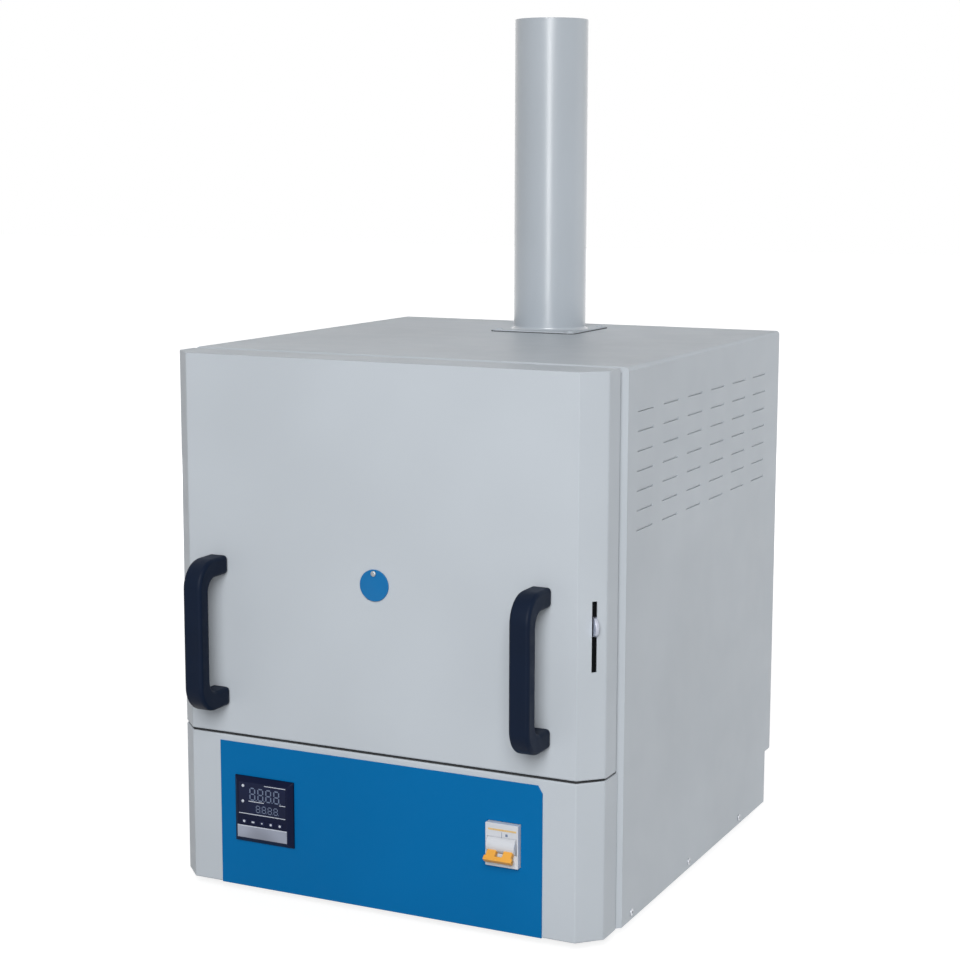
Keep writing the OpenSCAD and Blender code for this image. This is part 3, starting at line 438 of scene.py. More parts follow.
def add(kind, name, **settings):
    """Adds a mesh primitive under a name, with nothing else selected."""
    alone()
    getattr(bpy.ops.mesh, f"primitive_{kind}_add")(**settings)
    piece = bpy.context.active_object
    piece.name = piece.data.name = name
    bpy.ops.object.transform_apply(location=True, rotation=True, scale=True)
    return piece


def block(name, low, high):
    """Adds a cube between two corners."""
    low, high = Vector(low), Vector(high)
    return add("cube", name, size=1, location=(low + high) / 2, scale=high - low)


def flat_mark(name, mid, x, z, w, h, proud=0.12, sunk=0):
    """Adds a flat block on a face: w by h, its middle x and z from mid, in millimetres."""
    at = mid + Vector((x, 0, z)) * MM
    half = Vector((w / 2, 0, h / 2)) * MM
    out, into = Vector((0, proud, 0)) * MM, Vector((0, sunk, 0)) * MM
    return block(name, at - half - out, at + half + into)


def pick(piece, kind, test=None):
    """Opens a piece in edit mode, and selects its verts, edges or faces that pass a test, or all."""
    alone(piece)
    bpy.ops.object.mode_set(mode="EDIT")
    bpy.context.tool_settings.mesh_select_mode = (kind == "verts", kind == "edges", kind == "faces")
    bpy.ops.mesh.select_all(action="DESELECT")
    shape = bmesh.from_edit_mesh(piece.data)
    for part in getattr(shape, kind):
        if test is None or test(part):
            part.select_set(True)
    shape.select_flush_mode()
    bmesh.update_edit_mesh(piece.data)


def merge_doubles(piece):
    """Opens a piece in edit mode, and makes one point of those that lie together."""
    pick(piece, "verts")
    bpy.ops.mesh.remove_doubles(threshold=MERGE)


def bevel_picked(width, segments=4):
    """Rounds the picked edges, and leaves edit mode."""
    bpy.ops.mesh.bevel(offset=width, segments=segments, affect="EDGES", clamp_overlap=True)
    alone()


def middle(edge):
    """The middle point of an edge."""
    return (edge.verts[0].co + edge.verts[1].co) / 2


def along(edge, axis):
    """True if an edge runs along an axis, 0 to 2."""
    way = edge.verts[1].co - edge.verts[0].co
    return way.length > 0 and abs(way[axis]) > 0.999 * way.length


def near(value, *targets, by=0.05 * MM):
    """True if a value lies at one of the targets."""
    return any(abs(value - t) < by for t in targets)


def front_of(box):
    """The middle of a box's front."""
    low, high = box
    return Vector(((low.x + high.x) / 2, low.y, (low.z + high.z) / 2))


def corners(low, high, inset):
    """The four corners of a box in x and y, moved inwards."""
    ys = (low.y + inset, high.y - inset)
    return [(x, y) for x in (low.x + inset, high.x - inset) for y in ys]


def modify(piece, kind, **settings):
    """Adds a modifier with its settings, and applies it."""
    alone(piece)
    modifier = piece.modifiers.new(kind.lower(), kind)
    for key, value in settings.items():
        setattr(modifier, key, value)
    bpy.ops.object.modifier_apply(modifier=modifier.name)
    return piece


def round_edges(piece, width, segments=2, angle=30):
    """Rounds every edge that is sharper than an angle."""
    return modify(piece, "BEVEL", width=width, segments=segments, limit_method="ANGLE",
                  angle_limit=math.radians(angle), use_clamp_overlap=True, miter_outer="MITER_ARC")


def soften(piece, width, segments=2, longer=50):
    """Rounds the sharp edges of a sheet that are longer than a number of millimetres."""
    pick(piece, "edges", lambda e: e.calc_length() > longer * MM and e.calc_face_angle(0) > 0.5)
    bevel_picked(width, segments)


def tidy(piece):
    """Merges doubles, and turns all faces outwards."""
    merge_doubles(piece)
    bpy.ops.mesh.normals_make_consistent(inside=False)
    alone(piece)
    return piece


def new_object(name, data):
    """Puts a new object with its mesh, lamp or lens into the scene."""
    new = bpy.data.objects.new(name, data)
    bpy.context.scene.collection.objects.link(new)
    return new


def copy_of(source, name):
    """Copies an object under a name, with its own mesh."""
    piece = new_object(name, source.data.copy())
    piece.data.name = name
    return piece


def weld_copy(node, name):
    """Copies a frame node, merges its loose triangles and clears the lines across flat faces."""
    piece = copy_of(frame["nodes"][node], name)
    pick(piece, "verts")
    bpy.ops.mesh.customdata_custom_splitnormals_clear()
    bpy.ops.mesh.remove_doubles(threshold=MERGE)
    bpy.ops.mesh.dissolve_limited(angle_limit=math.radians(0.4))
    alone(piece)
    return piece


def turned(name, profile, steps=64):
    """Draws a profile of (radius, height) by extruding one point, and spins it round Z."""
    piece = add("plane", name, size=MM)
    pick(piece, "verts")
    bpy.ops.mesh.merge(type="CENTER")
    bpy.ops.transform.translate(value=(profile[0][0], 0, profile[0][1]))
    for here, there in zip(profile, profile[1:]):
        step = (there[0] - here[0], 0, there[1] - here[1])
        bpy.ops.mesh.extrude_vertices_move(TRANSFORM_OT_translate={"value": step})
    bpy.ops.mesh.select_all(action="SELECT")
    bpy.ops.mesh.spin(steps=steps, angle=TURN, center=(0, 0, 0), axis=(0, 0, 1))
    return tidy(piece)


def arc(cx, cy, r, start, end, steps=6):
    """Points of an arc in a profile, with angles in degrees."""
    angles = [math.radians(start + (end - start) * i / steps) for i in range(steps + 1)]
    return [(cx + r * math.cos(a), cy + r * math.sin(a)) for a in angles]


def twin(piece, name, location=(0, 0, 0), rotation=(0, 0, 0)):
    """Copies a finished shape to another place."""
    return settle(copy_of(piece, name), location, rotation)


def join(name, pieces):
    """Joins pieces into one."""
    alone(pieces[0])
    for piece in pieces[1:]:
        piece.select_set(True)
    bpy.ops.object.join()
    pieces[0].name = pieces[0].data.name = name
    return pieces[0]


def repeat(name, shape, places, rotation=(0, 0, 0)):
    """Puts a copy of a shape at each place, removes the shape and joins its copies."""
    copies = [twin(shape, name, place, rotation) for place in places]
    bpy.data.objects.remove(shape)
    return join(name, copies)


def cut(piece, cutter):
    """Takes a cutter's space out of a piece, and removes the cutter."""
    modify(piece, "BOOLEAN", object=cutter, operation="DIFFERENCE", solver="EXACT")
    bpy.data.objects.remove(cutter)
    return piece


def cross_recess(screw, reach, half, z0, z1, turn):
    """Cuts a cross into a screw's head, from z0 up to z1, in millimetres."""
    for spin in (turn, turn + RIGHT):
        slot = block("driver", *mm((-reach, -half, z0), (reach, half, z1)))
        cut(screw, settle(slot, rotation=(0, 0, spin)))
    return screw


def pan_screw(name, r=SCREW_R, h=1.6, shank=2, shank_l=5):
    """Pan-head screw along Z with a cross recess, its seat at the origin, in millimetres."""
    dome = [(r * math.sin(a), h - 0.55 * h * (1 - math.cos(a))) for a in (0.5, 0.85, 1.15, 1.4)]
    rest = [(r, 0.35 * h), (r * 0.97, 0), (shank, 0), (shank, -shank_l + 0.5),
            (shank - 0.5, -shank_l), (0, -shank_l)]
    screw = turned(name, mm((0, h), *dome, *rest), SMALL_TURNED)
    return cross_recess(screw, r * 0.52, 0.42, h * 0.42, 2 * h, 0.4)


def fold_front(piece, box, bend):
    """Rounds the outer bends of a chamfered front: both chamfers, and the top and bottom folds."""
    low, high = box
    front, side, flat = low.y, high.x, high.x - CHAMFER

    def outer(vert):
        x, y = abs(vert.co.x), vert.co.y
        return near(y, front) and x <= flat + 0.1 * MM or near(x + front - y, flat, by=0.1 * MM)

    def bent(edge):
        at = middle(edge)
        if along(edge, 2):
            return (near(abs(at.x), flat) and near(at.y, front)
                    or near(abs(at.x), side) and near(at.y, front + CHAMFER))
        return near(at.z, low.z, high.z) and at.y < front + CHAMFER and all(map(outer, edge.verts))
    pick(piece, "edges", bent)
    bevel_picked(bend, 4)


# ---- Finished pieces ----

def finish_piece(piece, slot, *nodes, body="cabinet", finish=None, angle=32):
    """Shades a piece, gives it its finish, and lets it ride on its body in place of its nodes."""
    merge_doubles(piece)
    bpy.ops.mesh.dissolve_degenerate(threshold=MERGE)
    alone(piece)
    piece.data.materials.clear()
    piece.data.materials.append(FINISHES[finish or slot])
    bpy.ops.object.shade_smooth_by_angle(angle=math.radians(angle))
    modify(piece, "WEIGHTED_NORMAL", keep_sharp=True, weight=100)
    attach(piece, body)
    if nodes:
        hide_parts(*nodes)
    return piece


def node_slot(node):
    """The record's material slot of a node."""
    return next(row["material_slot"] for row in frame["record"]["subparts"] if row["node"] == node)


def stand_in(piece, node, **more):
    """Finishes a piece that takes a node's place, with that node's body and slot."""
    return finish_piece(piece, node_slot(node), node, body=frame["nodes"][node]["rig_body"], **more)


def coat(piece, finish, test):
    """Gives the faces that pass a test another finish."""
    piece.data.materials.append(FINISHES[finish])
    for face in piece.data.polygons:
        if test(face):
            face.material_index = len(piece.data.materials) - 1


def dress(node, name, edge=None, segments=2, shape=None):
    """Puts a copy of a node in its place, its edges rounded by a number of millimetres.

    With no edge it is sheet metal, whose slits and holes stay sharp. A function may shape it first.
    """
    piece = weld_copy(node, name)
    if shape:
        shape(piece)
    if edge is None:
        soften(piece, bpy.context.scene.furnace_sizes.cut_edge)
    else:
        round_edges(piece, edge * MM, segments)
    return stand_in(piece, node)


def paint_nodes(*nodes):
    """Gives frame nodes that stay in view the finish of their slot."""
    for node in nodes:
        mesh = frame["nodes"][node].data
        mesh.materials.clear()
        mesh.materials.append(FINISHES[node_slot(node)])


# ---- Steps of the add-on ----

class Step:
    """What all steps of the add-on share"""
    bl_options = {"REGISTER", "UNDO"}

    @property
    def sizes(self):
        return bpy.context.scene.furnace_sizes


class FURNACE_OT_finishes(Step, Operator):
    """Make every finish, and give the plain inner nodes theirs"""
    bl_idname = "furnace.finishes"
    bl_label = "Finishes"

    def execute(self, context):
        make_finishes()
        sides = (f"insulation_{side}" for side in ("top", "base", "left", "right", "rear"))
        paint_nodes(*sides, "heater_left", "heater_right", "thermocouple", "relay", "rear_screws")
        return {"FINISHED"}


class FURNACE_OT_cabinet(Step, Operator):
    """Fold the cabinet: side and top cover, rear cover, tray and inner sheets"""
    bl_idname = "furnace.cabinet"
    bl_label = "Cabinet"

    def execute(self, context):
        dress("shell", "cabinet_cover")
        self.rear_cover()
        for node in ("base_tray", "rear_panel", "divider", "face_plate"):
            dress(node, f"{node}_sheet")
        return {"FINISHED"}

    def rear_cover(self):
        """The rear cover, with three countersunk screws down each side."""
        low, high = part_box("rear_cover")
        edge = 14 * MM
        seat = turned("seat", mm((0, 1), (4, 1), (4, 0), (1.8, -1.8), (0, -1.8)), SMALL_TURNED)
        screw = turned("screw", mm(
            (0, -0.1), (3.7, -0.1), (3.7, -0.3), (1.6, -2.2), (1.6, -3), (0, -3)), SMALL_TURNED)
        cross_recess(screw, 1.9, 0.4, -1.2, 1, 0.3)
        spots = [(x, high.y, z) for x in (low.x + edge, high.x - edge)
                 for z in (low.z + edge, (low.z + high.z) / 2, high.z - edge)]

        def sink(piece):
            for spot in spots:
                cut(piece, twin(seat, "seat_copy", spot, TO_BACK))
        dress("rear_cover", "rear_pan", shape=sink)
        bpy.data.objects.remove(seat)
        finish_piece(repeat("rear_cover_screws", screw, spots, TO_BACK), "screw_steel")


class FURNACE_OT_louvres(Step, Operator):
    """Bend a blade inwards behind each vent slit in the right side"""
    bl_idname = "furnace.louvres"
    bl_label = "Louvres"

    def execute(self, context):
        low, high = SHELL
        rows, cols, pitch, drop = 7, 6, 20 * MM, 47 * MM
        slit, height, margin = 44 * MM, 3.5 * MM, 33 * MM
        first, last = low.y + margin, high.y - margin - slit
        blade = block("blade", (high.x - 0.6 * MM, -0.3 * MM, 0.35 * MM),
                      (high.x - 0.1 * MM, slit + 0.3 * MM, height + 0.1 * MM))
        pick(blade, "faces", lambda f: abs(f.normal.x) > 0.9)
        bpy.ops.mesh.subdivide(number_cuts=5)
        for bottom, top, share in ((0, 0.5, 1), (0.5, 1.8, 0.6)):
            pick(blade, "verts", lambda v: bottom * MM < v.co.z < top * MM)
            bpy.ops.transform.translate(value=(-self.sizes.blade * share, 0, 0))
        places = [(0, first + (last - first) * col / (cols - 1), high.z - drop - pitch * row)
                  for row in range(rows) for col in range(cols)]
        finish_piece(repeat("louvre_blades", blade, places), "grey_paint")
        return {"FINISHED"}


class FURNACE_OT_chimney(Step, Operator):
    """Spin the chimney tube with its painted weld, lay the flange under it, and ring the flange with a
    dark bead that paints its shadow line
    """
    bl_idname = "furnace.chimney"
    bl_label = "Chimney"

    def execute(self, context):
        self.tube()

        def cut_corners(piece):
            pick(piece, "edges", lambda e: along(e, 2) and near(abs(middle(e).x), FLANGE[1].x)
                 and near(middle(e).y, FLANGE[0].y, FLANGE[1].y))
            bevel_picked(6 * MM, 6)
        dress("chimney_flange", "flange_plate", 0.3, 2, cut_corners)
        # Painted shadow: a dark silicone bead round the flange's foot darkens its edge as the shadow
        # under it would.
        seat = SHELL[1].z
        bead = self.plate("flange_bead", 0.8 * MM, seat, seat + 0.9 * MM)
        hole = self.plate("hole", -1 * MM, seat - 1 * MM, seat + 2 * MM)
        finish_piece(cut(bead, hole), "rubber", finish="sealant_and_shadow")
        return {"FINISHED"}

    def tube(self):
        """The tube down to its neck, with the weld fillet that spreads onto the flange."""
        low, high = CHIMNEY
        mid, weld, base = (low + high) / 2, self.sizes.weld, FLANGE[1].z
        r, wall, neck = (high.x - low.x) / 2, 1.5 * MM, 38.5 * MM
        rim, soft, rings = 0.6 * MM, 0.35 * MM, 12
        foot = base + weld
        profile = [(neck - wall, low.z), (neck, low.z), (neck, base), (r + weld, base)]
        profile += arc(r + weld, foot, weld, 270, 180)[1:]
        profile += [(r, foot + step * (high.z - foot) / rings) for step in range(1, rings)]
        profile += [(r, high.z - rim), (r - soft, high.z), (r - wall + soft, high.z),
                    (r - wall, high.z - rim), (r - wall, base + wall), (neck - wall, base + wall)]
        tube = turned("chimney_tube", profile + profile[:1], 128)
        stand_in(settle(tube, (mid.x, mid.y, 0)), "chimney")

    def plate(self, name, out, z0, z1):
        """A plate with round corners that reaches past the flange by out on every side."""
        low, high = FLANGE
        piece = block(name, (low.x - out, low.y - out, z0), (high.x + out, high.y + out, z1))
        pick(piece, "edges", lambda e: along(e, 2))
        bevel_picked(6 * MM + out, 6)
        return piece


class FURNACE_OT_fasteners(Step, Operator):
    """Drive the screws of the sides and the flange"""
    bl_idname = "furnace.fasteners"
    bl_label = "Fasteners"

    def execute(self, context):
        screw = pan_screw("screw")
        low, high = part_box("side_screws")
        y0, y1, z = low.y + SCREW_R * MM, high.y - SCREW_R * MM, (low.z + high.z) / 2
        sides = [twin(screw, "side", (way * SHELL[1].x, y, z), (0, way * RIGHT, 0))
                 for way in (-1, 1) for y in (y0, (y0 + y1) / 2, y1)]
        stand_in(join("side_screw_set", sides), "side_screws")
        spots = [(x, y, FLANGE[1].z) for x, y in corners(*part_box("flange_screws"), SCREW_R * MM)]
        stand_in(repeat("flange_screw_set", screw, spots), "flange_screws", finish="grey_paint")
        return {"FINISHED"}


class FURNACE_OT_feet(Step, Operator):
    """Turn the rubber feet, and fit the cable gland"""
    bl_idname = "furnace.feet"
    bl_label = "Feet and gland"

    def execute(self, context):
        low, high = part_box("feet")
        h, r = high.z, 16 * MM
        foot = turned("foot", [
            (0, h), (r, h), (r, h - 2 * MM), (r - 1.4 * MM, 0.8 * MM), (r - 2.2 * MM, 0),
            *mm((7, 0), (6, 2), (0, 2))], 40)
        spots = [(x, y, 0) for x, y in corners(low, high, r)]
        stand_in(repeat("rubber_feet", foot, spots), "feet")
        self.gland()
        return {"FINISHED"}

    def gland(self):
        """The cable gland: a ribbed cap on a threaded tube, between two hexagonal nuts."""
        low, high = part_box("cable_gland")
        mid, y0, y1 = (low + high) / 2, low.y, high.y
        bore, tube_r, cap_r, nut_r, nut_h, steps = *mm((5, 8, 9.9, 12, 6))[0], 48
        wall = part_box("rear_panel")[0].y
        back = wall + 1.5 * MM
        tube = [(bore, y0), (tube_r, y0), (tube_r, back + nut_h), (cap_r, back + 6.2 * MM),
                (cap_r, y1 - 4 * MM), *arc(7 * MM, y1 - 3 * MM, 3 * MM, 0, 90, 5)[1:], (bore, y1)]
        parts = [turned("gland", tube + tube[:1], steps)]
        for turn in range(12):
            rib = block("rib", (9.6 * MM, -0.5 * MM, back + 7 * MM),
                        (10 * MM, 0.5 * MM, y1 - 4 * MM))
            parts.append(settle(rib, rotation=(0, 0, TURN * turn / 12)))
        for z in (wall - nut_h, back):
            nut = add("cylinder", "nut", vertices=6, radius=nut_r, depth=nut_h,
                      location=(0, 0, z + nut_h / 2))
            core = add("cylinder", "core", vertices=steps, radius=tube_r + 0.05 * MM, depth=1)
            parts.append(round_edges(cut(nut, core), 0.6 * MM))
        stand_in(settle(join("cable_gland_body", parts), (mid.x, 0, mid.z), TO_BACK), "cable_gland")


class FURNACE_OT_chamber(Step, Operator):
    """Soften the edges of the muffle, its collar, the hearth and the flue"""
    bl_idname = "furnace.chamber"
    bl_label = "Chamber"

    def execute(self, context):
        dress("muffle", "muffle_box", 1.2, 3)
        dress("mouth_collar", "collar_ring", 1.5, 3)
        dress("hearth_plate", "hearth_tile", 1.0, 3)
        dress("flue", "flue_tube", 0.6)
        return {"FINISHED"}


class FURNACE_OT_door(Step, Operator):
    """Fold the door pan, and fit its liner, insulation and sight tube"""
    bl_idname = "furnace.door"
    bl_label = "Door"

    def execute(self, context):
        dress("door_shell", "door_pan", shape=lambda p: fold_front(p, DOOR, self.sizes.bend))
        dress("door_liner", "door_liner_sheet")
        dress("door_insulation", "door_pad", 2.0, 3)
        dress("peephole_tube", "sight_tube", 0.5)
        return {"FINISHED"}


class FURNACE_OT_handles(Step, Operator):
    """Shape one bridge handle from a block, and set it on both sides"""
    bl_idname = "furnace.handles"
    bl_label = "Handles"

    def execute(self, context):
        s = self.sizes
        low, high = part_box("handle_right")
        front, door, inner = low.y, DOOR[0].y, high.y
        grip, leg, flat = 18 * MM, 20 * MM, 50 * MM
        mid = (low + high) / 2
        bow = block("grip_right", (low.x, front, low.z), (high.x, door, high.z))
        pick(bow, "edges", lambda e: along(e, 0) and near(middle(e).y, front))
        bevel_picked(s.grip_bow, 12)
        gap = block("gap", (low.x - leg, front + grip, low.z + leg),
                    (high.x + leg, door + leg, high.z - leg))
        pick(gap, "edges", lambda e: along(e, 0) and near(middle(e).y, front + grip))
        bevel_picked(s.grip_fillet, 8)
        cut(bow, gap)
        round_edges(bow, s.grip_round, 4, 40)
        pick(bow, "faces",
             lambda f: f.normal.y < -0.99 and abs(f.calc_center_median().z - mid.z) < flat)
        bpy.ops.mesh.inset(thickness=2.5 * MM, depth=-0.5 * MM)
        end = inner - door + 2 * MM
        for z in (low.z + leg / 2, high.z - leg / 2):
            head = turned("screw", [
                *mm((0, 0), (3.5, 0), (3.5, 3), (1.8, 3)), (1.8 * MM, end), (0, end)], 24)
            join("grip_right", [bow, settle(head, (mid.x, inner, z), TO_FRONT)])
        left = twin(bow, "grip_left", (-2 * mid.x, 0, 0))
        stand_in(bow, "handle_right", angle=40)
        stand_in(left, "handle_left", angle=40)
        return {"FINISHED"}


class FURNACE_OT_peephole(Step, Operator):
    """Turn the swivel cap of the peephole and its slotted screw"""
    bl_idname = "furnace.peephole"
    bl_label = "Peephole"

    def execute(self, context):
        low, high = COVER
        mid, r, t = (low + high) / 2, (high.x - low.x) / 2, high.y - low.y
        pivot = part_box("peephole_screw")
        end, pz = pivot[1].y, (pivot[0].z + pivot[1].z) / 2
        disc = turned("peephole_cap", [
            (0, t), (r * 0.86, t), (r - 0.5 * MM, t - 0.25 * MM), (r, t - 0.8 * MM),
            (r, 0.3 * MM), (r - 0.3 * MM, 0), (0, 0)], 96)
        settle(disc, (mid.x, high.y, mid.z), TO_FRONT)
        hole = add("cylinder", "hole", vertices=32, radius=1.55 * MM, depth=20 * MM,
                   location=(mid.x, mid.y, pz), rotation=TO_FRONT)
        stand_in(cut(disc, hole), "peephole_cover")

        shank, head, dome, top = *mm((1.45, 3, 1.8))[0], end - low.y + 0.3 * MM
        screw = turned("peephole_pin", [
            (0, 0), (shank, 0), (shank, top), (head, top), (head - 0.2 * MM, top + 0.9 * MM),
            (dome, top + 1.4 * MM), (0, top + 1.4 * MM)], SMALL_TURNED)
        slit = block("slit", (-4 * MM, -0.35 * MM, top + 0.8 * MM), mm((4, 0.35, 30))[0])
        cut(screw, settle(slit, rotation=(0, 0, 0.6)))
        stand_in(settle(screw, (mid.x, end, pz), TO_FRONT), "peephole_screw", finish="arm_steel")
        return {"FINISHED"}


class FURNACE_OT_slider(Step, Operator):
    """Smooth the shutter and its thumb tab, and blacken the shutter's faces behind the slot as painted
    shade
    """
    bl_idname = "furnace.slider"
    bl_label = "Air slider"

    def execute(self, context):
        shutter = dress("air_slider", "shutter_with_tab", 0.5, 3)
        flat, front, behind = DOOR[1].x - CHAMFER, DOOR[0].y, -1.3 * MM
        # Painted shade: the faces that sit behind the door's skin are blackened, so that the slot
        # looks as dark as its shade.
        coat(shutter, "blackened_steel",
             lambda f: (f.center.x - flat) - (f.center.y - front) < behind)
        dress("slider_guide", "shutter_channel", 0.25, 1)
        return {"FINISHED"}


class FURNACE_OT_lift(Step, Operator):
    """Deburr the arms and brackets, and wind the balance spring"""
    bl_idname = "furnace.lift"
    bl_label = "Door lift"

    def execute(self, context):
        for side in ("left", "right"):
            for node in ("arm", "idler", "door_bracket", "hinge_bracket"):
                dress(f"{node}_{side}", f"{node}_{side}_steel", 0.4)
        dress("lift_shaft", "lift_shaft_rod", 0.8)
        self.spring()
        return {"FINISHED"}

    def spring(self):
        """The balance spring round the shaft, with one leg drawn out to the front."""
        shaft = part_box("lift_shaft")
        low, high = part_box("balance_spring")
        at = (shaft[0] + shaft[1]) / 2
        wire, coil, turns, sides = 1.75 * MM, 9.05 * MM, 7, 16
        pitch, steps = (high.x - low.x - 2 * wire) / turns, turns * 40
        ring = add("circle", "balance_coil", vertices=sides, radius=wire,
                   location=(0, 0, -coil), rotation=(RIGHT, 0, 0))
        modify(ring, "SCREW", axis="X", angle=-TURN * turns, screw_offset=turns * pitch,
               steps=steps, render_steps=steps, use_merge_vertices=False)
        pick(ring, "edges", lambda e: e.is_boundary)
        bpy.ops.mesh.fill_holes(sides=0)
        settle(ring, (low.x + wire, at.y, at.z))
        end = high.x - wire - pitch / 2
        pick(ring, "faces", lambda f: len(f.verts) == sides and f.calc_center_median().x > end)
        bpy.ops.mesh.extrude_region_move(TRANSFORM_OT_translate={"value": (0, low.y - at.y, 0)})
        stand_in(tidy(ring), "balance_spring", finish="arm_steel")


class FURNACE_OT_fascia(Step, Operator):
    """Fold the control fascia, lay the blue plate on it, and darken the seam above it with a black
    strip of painted shade
    """
    bl_idname = "furnace.fascia"
    bl_label = "Fascia"

    def execute(self, context):
        dress("fascia", "fascia_pan", shape=lambda p: fold_front(p, FASCIA, self.sizes.bend))
        plate = weld_copy("fascia_plate", "blue_plate")
        pick(plate, "edges", lambda e: near(middle(e).y, PLATE[0].y) and e.calc_face_angle(0) > 1)
        bevel_picked(0.45 * MM, 1)
        stand_in(plate, "fascia_plate")
        self.seam_strip()
        return {"FINISHED"}

    def seam_strip(self):
        """A black strip on the fascia's top that follows its front: painted shade that darkens the
        seam under the door.
        """
        low, high = FASCIA
        outer, wide = 1.8 * MM, 10 * MM

        def layer(name, inset, below, above, back):
            piece = block(name, (low.x + inset, low.y + inset, high.z - below),
                          (high.x - inset, high.y + back, high.z + above))
            pick(piece, "edges", lambda e: along(e, 2) and near(middle(e).y, low.y + inset))
            bevel_picked(CHAMFER - inset * (2 - math.sqrt(2)), 1)
            return piece
        # Painted shade: black rubber laid in the seam, where the real seam holds only the door's
        # shadow.
        strip = layer("seam_strip", outer, 0.1 * MM, self.sizes.seam_shade_height, -1 * MM)
        cut(strip, layer("gap", outer + wide, 1 * MM, 5 * MM, 5 * MM))
        finish_piece(round_edges(strip, 0.3 * MM), "rubber")


class FURNACE_OT_controller(Step, Operator):
    """Build the controller's face: window, figures, lamps, keys and the bare strip"""
    bl_idname = "furnace.controller"
    bl_label = "Controller"

    def execute(self, context):
        case = weld_copy("controller", "controller_case")
        soften(case, 0.5 * MM, 3, 8)
        stand_in(case, "controller")
        dress("display", "display_glass", 0.2)
        front, glass = front_of(BEZEL), front_of(BEZEL)
        glass.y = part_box("display")[0].y
        bar = self.sizes.line / MM
        lines = ((16, 29.2, 26), (-7.2, 10.4, 19), (25, 10.4, 7.6), (0, -3.6, 57))
        marks = [flat_mark("mark", glass, x, z, w, bar) for x, z, w in lines]
        self.print_on(join("face_lines", marks), "mark_ink")
        self.lamps(glass)
        self.figures("large_figures", glass, (-15.9, 12.2), (23.5, 25), 1.35)
        self.figures("small_figures", glass, (-8, -0.6), (21, 6.4), 0.85)
        # The rim is a pale line along the strip's top edge: a painted highlight of that edge, in the
        # face marks' ink.
        bars = (("strip", -23.8, 12.6, 0.3, 0.1, "strip_foil"),
                ("strip_rim", -17.1, 1.1, 0.45, 0.2, "mark_ink"))
        for name, z, h, proud, edge, finish in bars:
            bare = round_edges(flat_mark(name, front, 0, z, 61, h, proud), edge * MM)
            finish_piece(bare, "controller_plastic", finish=finish)
        self.keys()
        return {"FINISHED"}

    def print_on(self, marks, ink):
        """Gives marks on the window their ink."""
        finish_piece(marks, "display_window", finish=ink)

    def lamps(self, glass):
        """Two round signal lamps at the left of the window."""
        r, h = 1.7, 0.7
        dome = [(r * math.sin(a), h * math.cos(a)) for a in (0.4, 0.8, 1.2)]
        lens = turned("lens", mm((0, h), *dome, (r, -0.2), (0, -0.2)), SMALL_TURNED)
        spots = [glass + Vector((x, 0, z)) * MM for x, z in ((-23.4, 26.6), (-23.8, 9.6))]
        self.print_on(repeat("signal_lamps", lens, spots, TO_FRONT), "mark_ink")

    def figures(self, name, glass, low, high, bar):
        """Four unlit seven-segment figures between two corners."""
        pitch, h, mid = (high[0] - low[0]) / 4, high[1] - low[1], (low[1] + high[1]) / 2
        w, segments = pitch * 0.6, []
        flat, tall, dot = w - bar * 1.25, h / 2 - bar * 1.25, bar * 0.8
        shapes = [(0, dz * h / 2, flat, bar) for dz in (1, 0, -1)]
        shapes += [(dx * w / 2, dz * h / 4, bar, tall) for dz in (1, -1) for dx in (-1, 1)]
        shapes += [(w * 0.78, low[1] - mid, dot, dot)]
        for i in range(4):
            x = low[0] + pitch * (i + 0.42)
            segments += [flat_mark("segment", glass, x + dx, mid + dz, sw, sh, 0.08)
                         for dx, dz, sw, sh in shapes]
        self.print_on(join(name, segments), "figure_ink")

    def keys(self):
        """Five dark keys, each with a small pale mark."""
        sizes = ((2.8, 2.6), (3.6, 1.8), (1.8, 1.2), (2.6, 2.6), (2.6, 2.6))
        for i, (w, h) in enumerate(sizes, 1):
            node = f"key_{i}"
            dress(node, f"key_cap_{i}", 0.5, 3)
            mark = flat_mark(f"key_mark_{i}", front_of(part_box(node)), 0, 0, w, h, sunk=0.3)
            pick(mark, "edges", lambda e: along(e, 1))
            bevel_picked(min(w, h) * 0.42 * MM, 5)
            finish_piece(mark, "key_plastic", body=node, finish="mark_ink")


